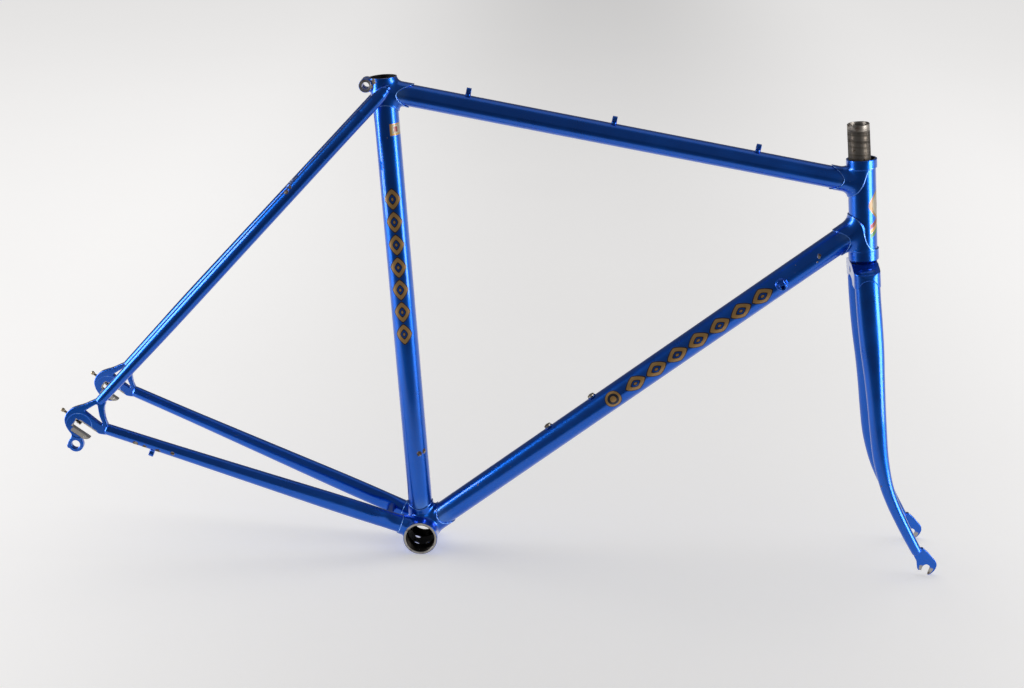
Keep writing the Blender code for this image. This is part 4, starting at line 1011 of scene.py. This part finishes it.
def adjuster_cap(name, start, outward, sides=96):
    """Knurled cap on the screw's outer end."""
    rings = []
    for height, radius in CAP_PROFILE:
        knurl = 0.05 if radius > 0.0019 else 0.0
        centre = start + outward * height
        points = circle(centre, outward, 1.0, sides)
        rings.append([centre + (p - centre) * radius * (1 - knurl * (0.5 + 0.5 * cos(2 * pi * k / 6)))
                      for k, p in enumerate(points)])
    return grid_mesh(name, rings, closed=False)


def adjuster_spring(name, start, outward, turns=3, per_turn=28):
    across, wire, coil = Y_AXIS.cross(outward), 0.00038, []
    for i in range(turns * per_turn + 1):
        turn = 2 * pi * i / per_turn
        centre = start + outward * (-ADJUSTER_HEAD + 0.0005 + 0.0029 * i / (turns * per_turn))
        radial = across * cos(turn) + Y_AXIS * sin(turn)
        coil.append([centre + radial * (0.002 + wire * cos(a)) + outward * (wire * sin(a))
                     for a in turns_of(10)])
    return grid_mesh(name, coil, closed=False)


def make_adjuster(name, start):
    """Wheel adjuster: threaded screw with a round head, knurled cap and coiled spring."""
    outward = -ADJUSTER_DIR
    dark = steel("adjuster_steel_" + name, (0.2, 0.18, 0.16), (0.07, 0.06, 0.055), rust=0.05)
    bright = steel("adjuster_cap_steel_" + name, (0.6, 0.5, 0.34), (0.28, 0.21, 0.13), rust=0.03)
    rows = [(-0.001, 0.0004, 0, 1)]
    rows += [(-0.0012 - i * 0.0001, 0.0015, 0.00022, 0.0005) for i in range(244)]
    rows += [(-ADJUSTER_HEAD - down, radius, 0, 1)
             for down, radius in mm((0, 2.1), (1.4, 2.1), (2, 1.6), (2.2, 0.4))]
    screw, cap, spring = ["adjuster_%s_%s" % (piece, name) for piece in ("screw", "cap", "spring")]
    body = "adjuster_" + name
    add(threaded(screw + "_shape", start, outward, rows, 24), body, dark, "dark_steel", screw)
    add(adjuster_cap(cap + "_shape", start, outward), body, bright, "screw_steel", cap)
    add(adjuster_spring(spring + "_shape", start, outward), spring, dark, "dark_steel", spring)


# --- braze-ons ---
def make_peg(node, foot, up, along, lift, tube_line, tube_radius):
    """Cable guide: a drilled post whose foot is filleted onto its tube."""
    field = Field(node, 0.0002, 0.0025)
    centre = foot + up * lift
    peg = fused(field.rod(foot, up, 0.0026, -0.002, lift, 0.0002),
                field.rod(centre, along, 0.0034, -0.0028, 0.0028, 0.0004), 0.0015)
    base = field.rod(*tube_line, tube_radius)
    peg = both(fused(peg, base + 0.0004, 0.0028), -(base + 0.0003))
    peg = both(peg, field.rod(foot, up, 0.0052))
    field.piece(less(peg, field.rod(centre, along, 0.0023), 0.0002), LUG_PAINT)


def make_guides():
    for name in ("rear", "middle", "front"):
        node = "top_tube_cable_guide_" + name
        low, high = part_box(node)
        along = ((low + high) / 2 - SEAT_NODE).dot(TOP_DIR)
        foot = SEAT_NODE + TOP_DIR * along + TOP_UP * (TOP_RADIUS + GAP)
        make_peg(node, foot, TOP_UP, TOP_DIR, 0.0048, TOP_LINE, TOP_RADIUS)
    stay = (chainstay_point(0.3335, -1), line_of(chainstay_point, -1)[1])
    flat = Vector((stay[1].x, 0.0, stay[1].z)).normalized()
    below = up_of(flat)
    make_peg("chainstay_cable_stop", stay[0] + below * (0.0073 + GAP), below, flat, 0.0046, stay, 0.0071)


BOSS_PROFILE = mm(  # radius and height
    (3.4, -7), (3.4, -0.2), (5, -0.2), (5.2, 0.1), (5.1, 0.5), (4.6, 0.8), (2.7, 0.8), (2.7, -7))
SCREW_LIFT = 0.0011


def bottle_screw(node, seat):
    """Domed button head with a hexagon socket, on its shank."""
    field = Field(node, 0.00018, 0.0015)
    dome = field.chain([(seat - DOWN_UP * 0.0052, 0.009), (seat - DOWN_UP * 0.0051, 0.009)])
    head = rounded(dome, field.rod(seat, DOWN_UP, 0.0044, SCREW_LIFT, 0.004, 0.0003), 0.0003)
    screw = either(head, field.rod(seat, DOWN_UP, 0.0024, -0.009, SCREW_LIFT + 0.0005, 0.0003))
    right = Y_AXIS.cross(DOWN_UP)
    pocket = -field.along(seat + DOWN_UP * (SCREW_LIFT + 0.0006), DOWN_UP)
    for turn in (0, pi / 3, pi * 2 / 3):
        pocket = both(pocket, np.abs(field.along(seat, right * cos(turn) + Y_AXIS * sin(turn))) - 0.0015)
    return field.mesh(less(screw, pocket, 0.0001))


def make_bottle_bosses():
    bright = steel("bottle_screw_steel", (0.58, 0.54, 0.46), (0.25, 0.2, 0.15), rust=0.06)
    for name, along in (("lower", 0.2021), ("upper", 0.2661)):
        seat = BRACKET + DOWN_DIR * along + DOWN_UP * (DOWN_RADIUS + GAP)
        rings = [circle(seat + DOWN_UP * height, DOWN_UP, radius, 48) for radius, height in BOSS_PROFILE]
        painted(grid_mesh("bottle_boss_%s_shape" % name, rings), "bottle_boss_" + name, LUG_PAINT)
        node = "bottle_screw_" + name
        add(bottle_screw(node, seat), "frame", bright, "screw_steel", node)


def make_shifter_bosses():
    root = BRACKET + DOWN_DIR * 0.5259
    for name, sign in SIDES.items():
        out = Y_AXIS * sign
        field = Field("shifter_boss_" + name, 0.00028, 0.003)
        base = field.rod(root, out, 0.0064, 0.005, 0.017, 0.0006)
        tall, wide = (np.abs(field.along(root, way)) - 0.0043 for way in (DOWN_UP, DOWN_DIR))
        square = rounded(tall, wide, 0.0006)
        square = rounded(square, np.abs(field.along(root, out) - 0.018) - 0.0025, 0.0003)
        boss = either(either(base, square), field.rod(root, out, 0.004, 0.017, 0.0262, 0.0005))
        tube_side = field.rod(*DOWN_LINE, DOWN_RADIUS)
        boss = both(fused(boss, tube_side + 0.0004, 0.003), -(tube_side + 0.0002))
        boss = both(boss, field.rod(root, out, 0.0085, 0.0, 0.03, 0.0))
        boss = less(boss, field.rod(root, out, 0.0023, 0.015, 0.05, 0.0), 0.0003)
        field.piece(boss, paint("blue_paint_boss_" + name, extra_wear=0.02))


# --- fork ---
BLADE_SIZES = mm(  # drop, ahead, half length and half width
    (12, -1, 14.3, 10), (40, -0.8, 14.3, 10), (70, 0, 14.2, 9.9), (100, 1, 13.5, 9.7), (132, 2, 11.8, 9.4),
    (164, 2.7, 10.6, 9.1), (197, 3.3, 9.9, 8.6), (230, 4.7, 9.1, 8), (262, 9.3, 7.9, 7.4), (286, 16, 7.3, 7),
    (308, 24.2, 6.9, 6.7), (328, 32.4, 6.6, 6.4), (348, 41.2, 6.2, 6.2))
BLADE_TOP_Y = 0.0315


def blade_y(drop):
    share = (drop - BLADE_SIZES[0][0]) / (BLADE_SIZES[-1][0] - BLADE_SIZES[0][0])
    return BLADE_TOP_Y + (FORK_HALF - BLADE_TOP_Y) * share


def make_blades():
    for name, sign in SIDES.items():
        stations = [(fork_at(drop, ahead, sign * blade_y(drop)), tall, across)
                    for drop, ahead, tall, across in BLADE_SIZES]
        chips = [(fork_at(0.135, 0.01, sign * 0.045), 0.0012), (fork_at(0.262, 0.004, sign * 0.051), 0.0015)]
        painted(limb("fork_blade_%s_shape" % name, stations), "fork_blade_" + name,
                paint("blue_paint_blade_" + name, chips=chips), "fork")


CROWN_HALF = mm(  # half of the front outline, from the middle's top round to its underside: out and up
    (0, -1.8), (17, -1.8), (39.5, -8.2), (41.8, -9.5), (42.8, -12), (43.2, -26), (17, -26), (16.5, -23.5),
    (12, -20), (0, -19))


def make_crown():
    """Sloping crown with blade sockets, filleted under the shoulders."""
    field = Field("fork_crown", 0.0005)
    ahead, up = field.along(fork_at(0.0, -0.001), FORK_AHEAD), field.along(fork_at(0.0, 0.0), FORK_DIR)
    side = np.abs(field.y)
    end = np.sqrt((ahead / 0.0152) ** 2 + (both(side - BLADE_TOP_Y, 0) / 0.0113) ** 2)
    plan = both((end - 1) * 0.0125, np.abs(ahead) - 0.0152)
    outline = CROWN_HALF + [(-y, z) for y, z in CROWN_HALF[-2:0:-1]]
    crown = rounded(plan, polygon(field.y + 0.0 * up, up, outline), 0.0008)
    crown = fused(crown, field.rod(fork_at(0.0, 0.0), FORK_DIR, 0.0152, -0.022, -0.002, 0.0006), 0.0012)
    crown = fused(crown, field.rod(fork_at(0.003, 0.0), FORK_DIR, 0.015, -0.002, 0.0022, 0.0003), 0.0006)
    blade = (np.sqrt((ahead / 0.0146) ** 2 + ((side - BLADE_TOP_Y) / 0.0103) ** 2) - 1) * 0.0115
    for sign in SIDES.values():
        inner = both(both(blade, np.where(field.y * sign > 0, -1.0, 1.0)), up + 0.0175)
        arch = both(field.rod(fork_at(0.0262, -0.0005), Y_AXIS, 0.0108), 0.02 - field.y * sign)
        crown = less(less(crown, inner, 0.0), arch, 0.0005)
    crown = less(crown, field.rod(*FORK_LINE, STEERER_RADIUS + 0.0001), 0.0)
    crown = less(crown, field.rod(fork_at(0.0115, 0.0), FORK_AHEAD, 0.0035), 0.0005)
    field.piece(crown, paint("blue_paint_crown", extra_wear=0.01), body="fork")


def make_steerer():
    """Steerer tube: smooth collar above fine threads, darkened bare steel."""
    rows = [(-0.02, STEERER_RADIUS, 0, 1), (0.106, STEERER_RADIUS, 0, 1)]
    rows += [(0.1062 + i * THREAD_PITCH / 5, STEERER_RADIUS, 0.0005, THREAD_PITCH) for i in range(205)]
    rows += [(0.1498, STEERER_RADIUS - 0.0004, 0, 1), (0.1502, STEERER_RADIUS - 0.0001, 0, 1),
             (0.1568, STEERER_RADIUS - 0.0001, 0, 1), (STEERER_TOP, STEERER_RADIUS - 0.0007, 0, 1),
             (STEERER_TOP, STEERER_BORE + 0.0003, 0, 1), (STEERER_TOP - 0.0004, STEERER_BORE, 0, 1),
             (-0.02, STEERER_BORE, 0, 1)]
    material = steel("steerer_steel", (0.33, 0.3, 0.265), (0.1, 0.088, 0.076), rust=0.02,
                     roughness=(0.34, 0.52), turned=FORK_LINE, stretch=(0.12, 0.12, 3.0))
    add(threaded("steerer_tube_shape", *FORK_LINE, rows, 72), "fork", material, "bare_steel", "steerer_tube")


FORK_END_OUTLINE = mm(
    (1, -7.4), (2.4, -8.7), (4.8, -8.3), (7.8, -5.8), (10.5, -2.2), (12.2, 2.5), (11.8, 6.8), (9.5, 10.5),
    (6, 13.8), (2, 19), (-7.5, 27), (-18, 20.5), (-15, 14), (-11.8, 8.5), (-10.8, 2), (-10.3, -1.2),
    (-8.8, -3), (-6.6, -2.6), (-3.5, -4))


FORK_SLOT_DIR = Vector((sin(radians(-16)), 0.0, -cos(radians(16))))


def fork_jaw_faces(axle):
    """Mask function for a fork end's bare face round the axle."""
    def mask(graph):
        near = graph.ragged(graph.across(axle, Y_AXIS), 0.003)
        low = graph.step(graph.along(axle, FORK_SLOT_DIR), -0.003, -0.0005)
        return graph.times(graph.step(near, 0.0082, 0.0088, 1.0, 0.0), low)
    return mask


def make_fork_ends():
    for name, sign in SIDES.items():
        field = Field("fork_end_" + name, 0.0003, 0.005)
        axle = fork_at(*AXLE, sign * FORK_HALF)
        u, v = field.x - axle.x, field.z - axle.z
        far = np.sqrt(u * u + v * v)
        su = u * FORK_SLOT_DIR.x + v * FORK_SLOT_DIR.z
        sv = u * FORK_SLOT_DIR.z - v * FORK_SLOT_DIR.x
        slot = np.where(su > 0, np.abs(sv), far) - 0.0045
        tip = fork_at(*BLADE_SIZES[-1][:2])
        last = (tip - fork_at(*BLADE_SIZES[-2][:2])).normalized()
        foot = tip - axle
        hidden = (u - foot.x) * last.x + (v - foot.z) * last.z + 0.004
        flat = both(polygon(u, v, softened(FORK_END_OUTLINE, 1)), -slot)
        flat = both(both(flat, -hidden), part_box(field.node)[0].z - field.z)
        offset = np.abs(field.y - sign * FORK_HALF)
        plate = rounded(flat, offset - 0.0025, 0.0007)
        plate = less(plate, both(far - 0.0098, 0.0021 - offset), 0.0002)
        field.piece(plate, paint("blue_paint_fork_end_" + name, zone=fork_jaw_faces(axle), extra_wear=0.02),
                    body="fork")


# --- stage ---
def make_floor():
    """White studio paper, lit of itself a little and more towards its sides and back (painted light); in front
    of it the room's floor is dark.
    """
    graph = Graph("studio_paper")
    tone = graph.noise(2.2, 3.0, 0.5)
    paper = graph.step(graph.along((0, -0.4, 0), Y_AXIS), -0.2, 0.0)
    white = graph.mix(tone, (0.7, 0.69, 0.68, 1), (0.74, 0.73, 0.72, 1))
    graph.set("Base Color", graph.mix(paper, (0.1, 0.1, 0.11, 1), white))
    graph.set("Emission Color", (1.0, 0.985, 0.97, 1))
    # Painted light: the paper glows more towards its sides and its far back.
    sides = graph.step(graph.size(graph.along((0.12, 0, 0), (1, 0, 0))), 0.05, 1.0, 0.0, 0.18)
    far = graph.step(graph.along((0, 0, 0), Y_AXIS), 0.6, 6.0, 0.0, 0.05)
    lit = graph.plus(graph.plus(sides, far), 0.41)
    graph.set("Emission Strength", graph.blend(paper, 0.04, lit))
    graph.set("Roughness", graph.step(graph.noise(40.0, 3.0, 0.5), 0.3, 0.7, 0.75, 0.9))
    graph.set("Normal", graph.bump(graph.noise(600.0, 2.0, 0.5), 0.00005, 0.4))
    half = 9.0
    mesh = bpy.data.meshes.new("studio_floor")
    corners = [(-half, -half, 0), (half, -half, 0), (half, half, 0), (-half, half, 0)]
    mesh.from_pydata(corners, [], [(0, 1, 2, 3)])
    mesh.materials.append(graph.material)
    floor = bpy.data.objects.new("studio_floor", mesh)
    bpy.context.scene.collection.objects.link(floor)


def area_light(name, place, target, size, power, diffuse=True, glossy=True):
    data = bpy.data.lights.new(name, "AREA")
    data.shape = "RECTANGLE"
    data.size, data.size_y = size
    data.energy = power
    light = bpy.data.objects.new(name, data)
    light.location = place
    light.visible_diffuse = diffuse
    light.visible_glossy = glossy
    light.rotation_mode = "QUATERNION"
    light.rotation_quaternion = (Vector(target) - Vector(place)).to_track_quat("-Z", "Y")
    bpy.context.scene.collection.objects.link(light)


def make_lights():
    area_light("overhead_softbox", (0.1, 1.2, 3.4), (0.0, 0.3, 0.0), (5.0, 3.0), 60, glossy=False)
    area_light("ceiling_glow", (0.0, 0.9, 3.2), (0.0, 0.0, 0.4), (3.6, 1.8), 7.5, diffuse=False)
    area_light("left_strip", (-1.33, -0.22, 0.5), (-0.1, 0.0, 0.35), (0.56, 1.0), 14, diffuse=False)
    area_light("right_strip", (1.22, -0.42, 0.5), (0.2, 0.0, 0.35), (0.46, 1.0), 12.5, diffuse=False)
    world = bpy.data.worlds.new("studio")
    world.use_nodes = True
    background = world.node_tree.nodes["Background"]
    background.inputs["Color"].default_value = (0.93, 0.95, 1.0, 1.0)
    background.inputs["Strength"].default_value = 0.15
    bpy.context.scene.world = world


def make_camera():
    yaw, pitch, roll = -0.0401, 0.3134, 0.0094
    data = bpy.data.cameras.new("camera")
    data.sensor_width = 36.0
    data.lens = 64.07
    camera = bpy.data.objects.new("camera", data)
    aim = Matrix.Rotation(-yaw, 4, "Z") @ Matrix.Rotation(pi / 2 - pitch, 4, "X")
    place = Matrix.Translation((0.08926, -2.03754, 0.91858))
    camera.matrix_world = place @ aim @ Matrix.Rotation(roll, 4, "Z")
    bpy.context.scene.collection.objects.link(camera)
    bpy.context.scene.camera = camera
    bpy.context.scene.view_settings.view_transform = "Standard"


make_tubes()
make_head_lugs()
make_seat_lug()
make_seatstay_caps()
make_bracket_shell()
make_bracket_threads()
make_stays()
make_brake_bridge()
make_chainstay_bridge()
make_dropouts()
make_guides()
make_bottle_bosses()
make_shifter_bosses()
make_blades()
make_crown()
make_steerer()
make_fork_ends()
make_floor()
make_lights()
make_camera()
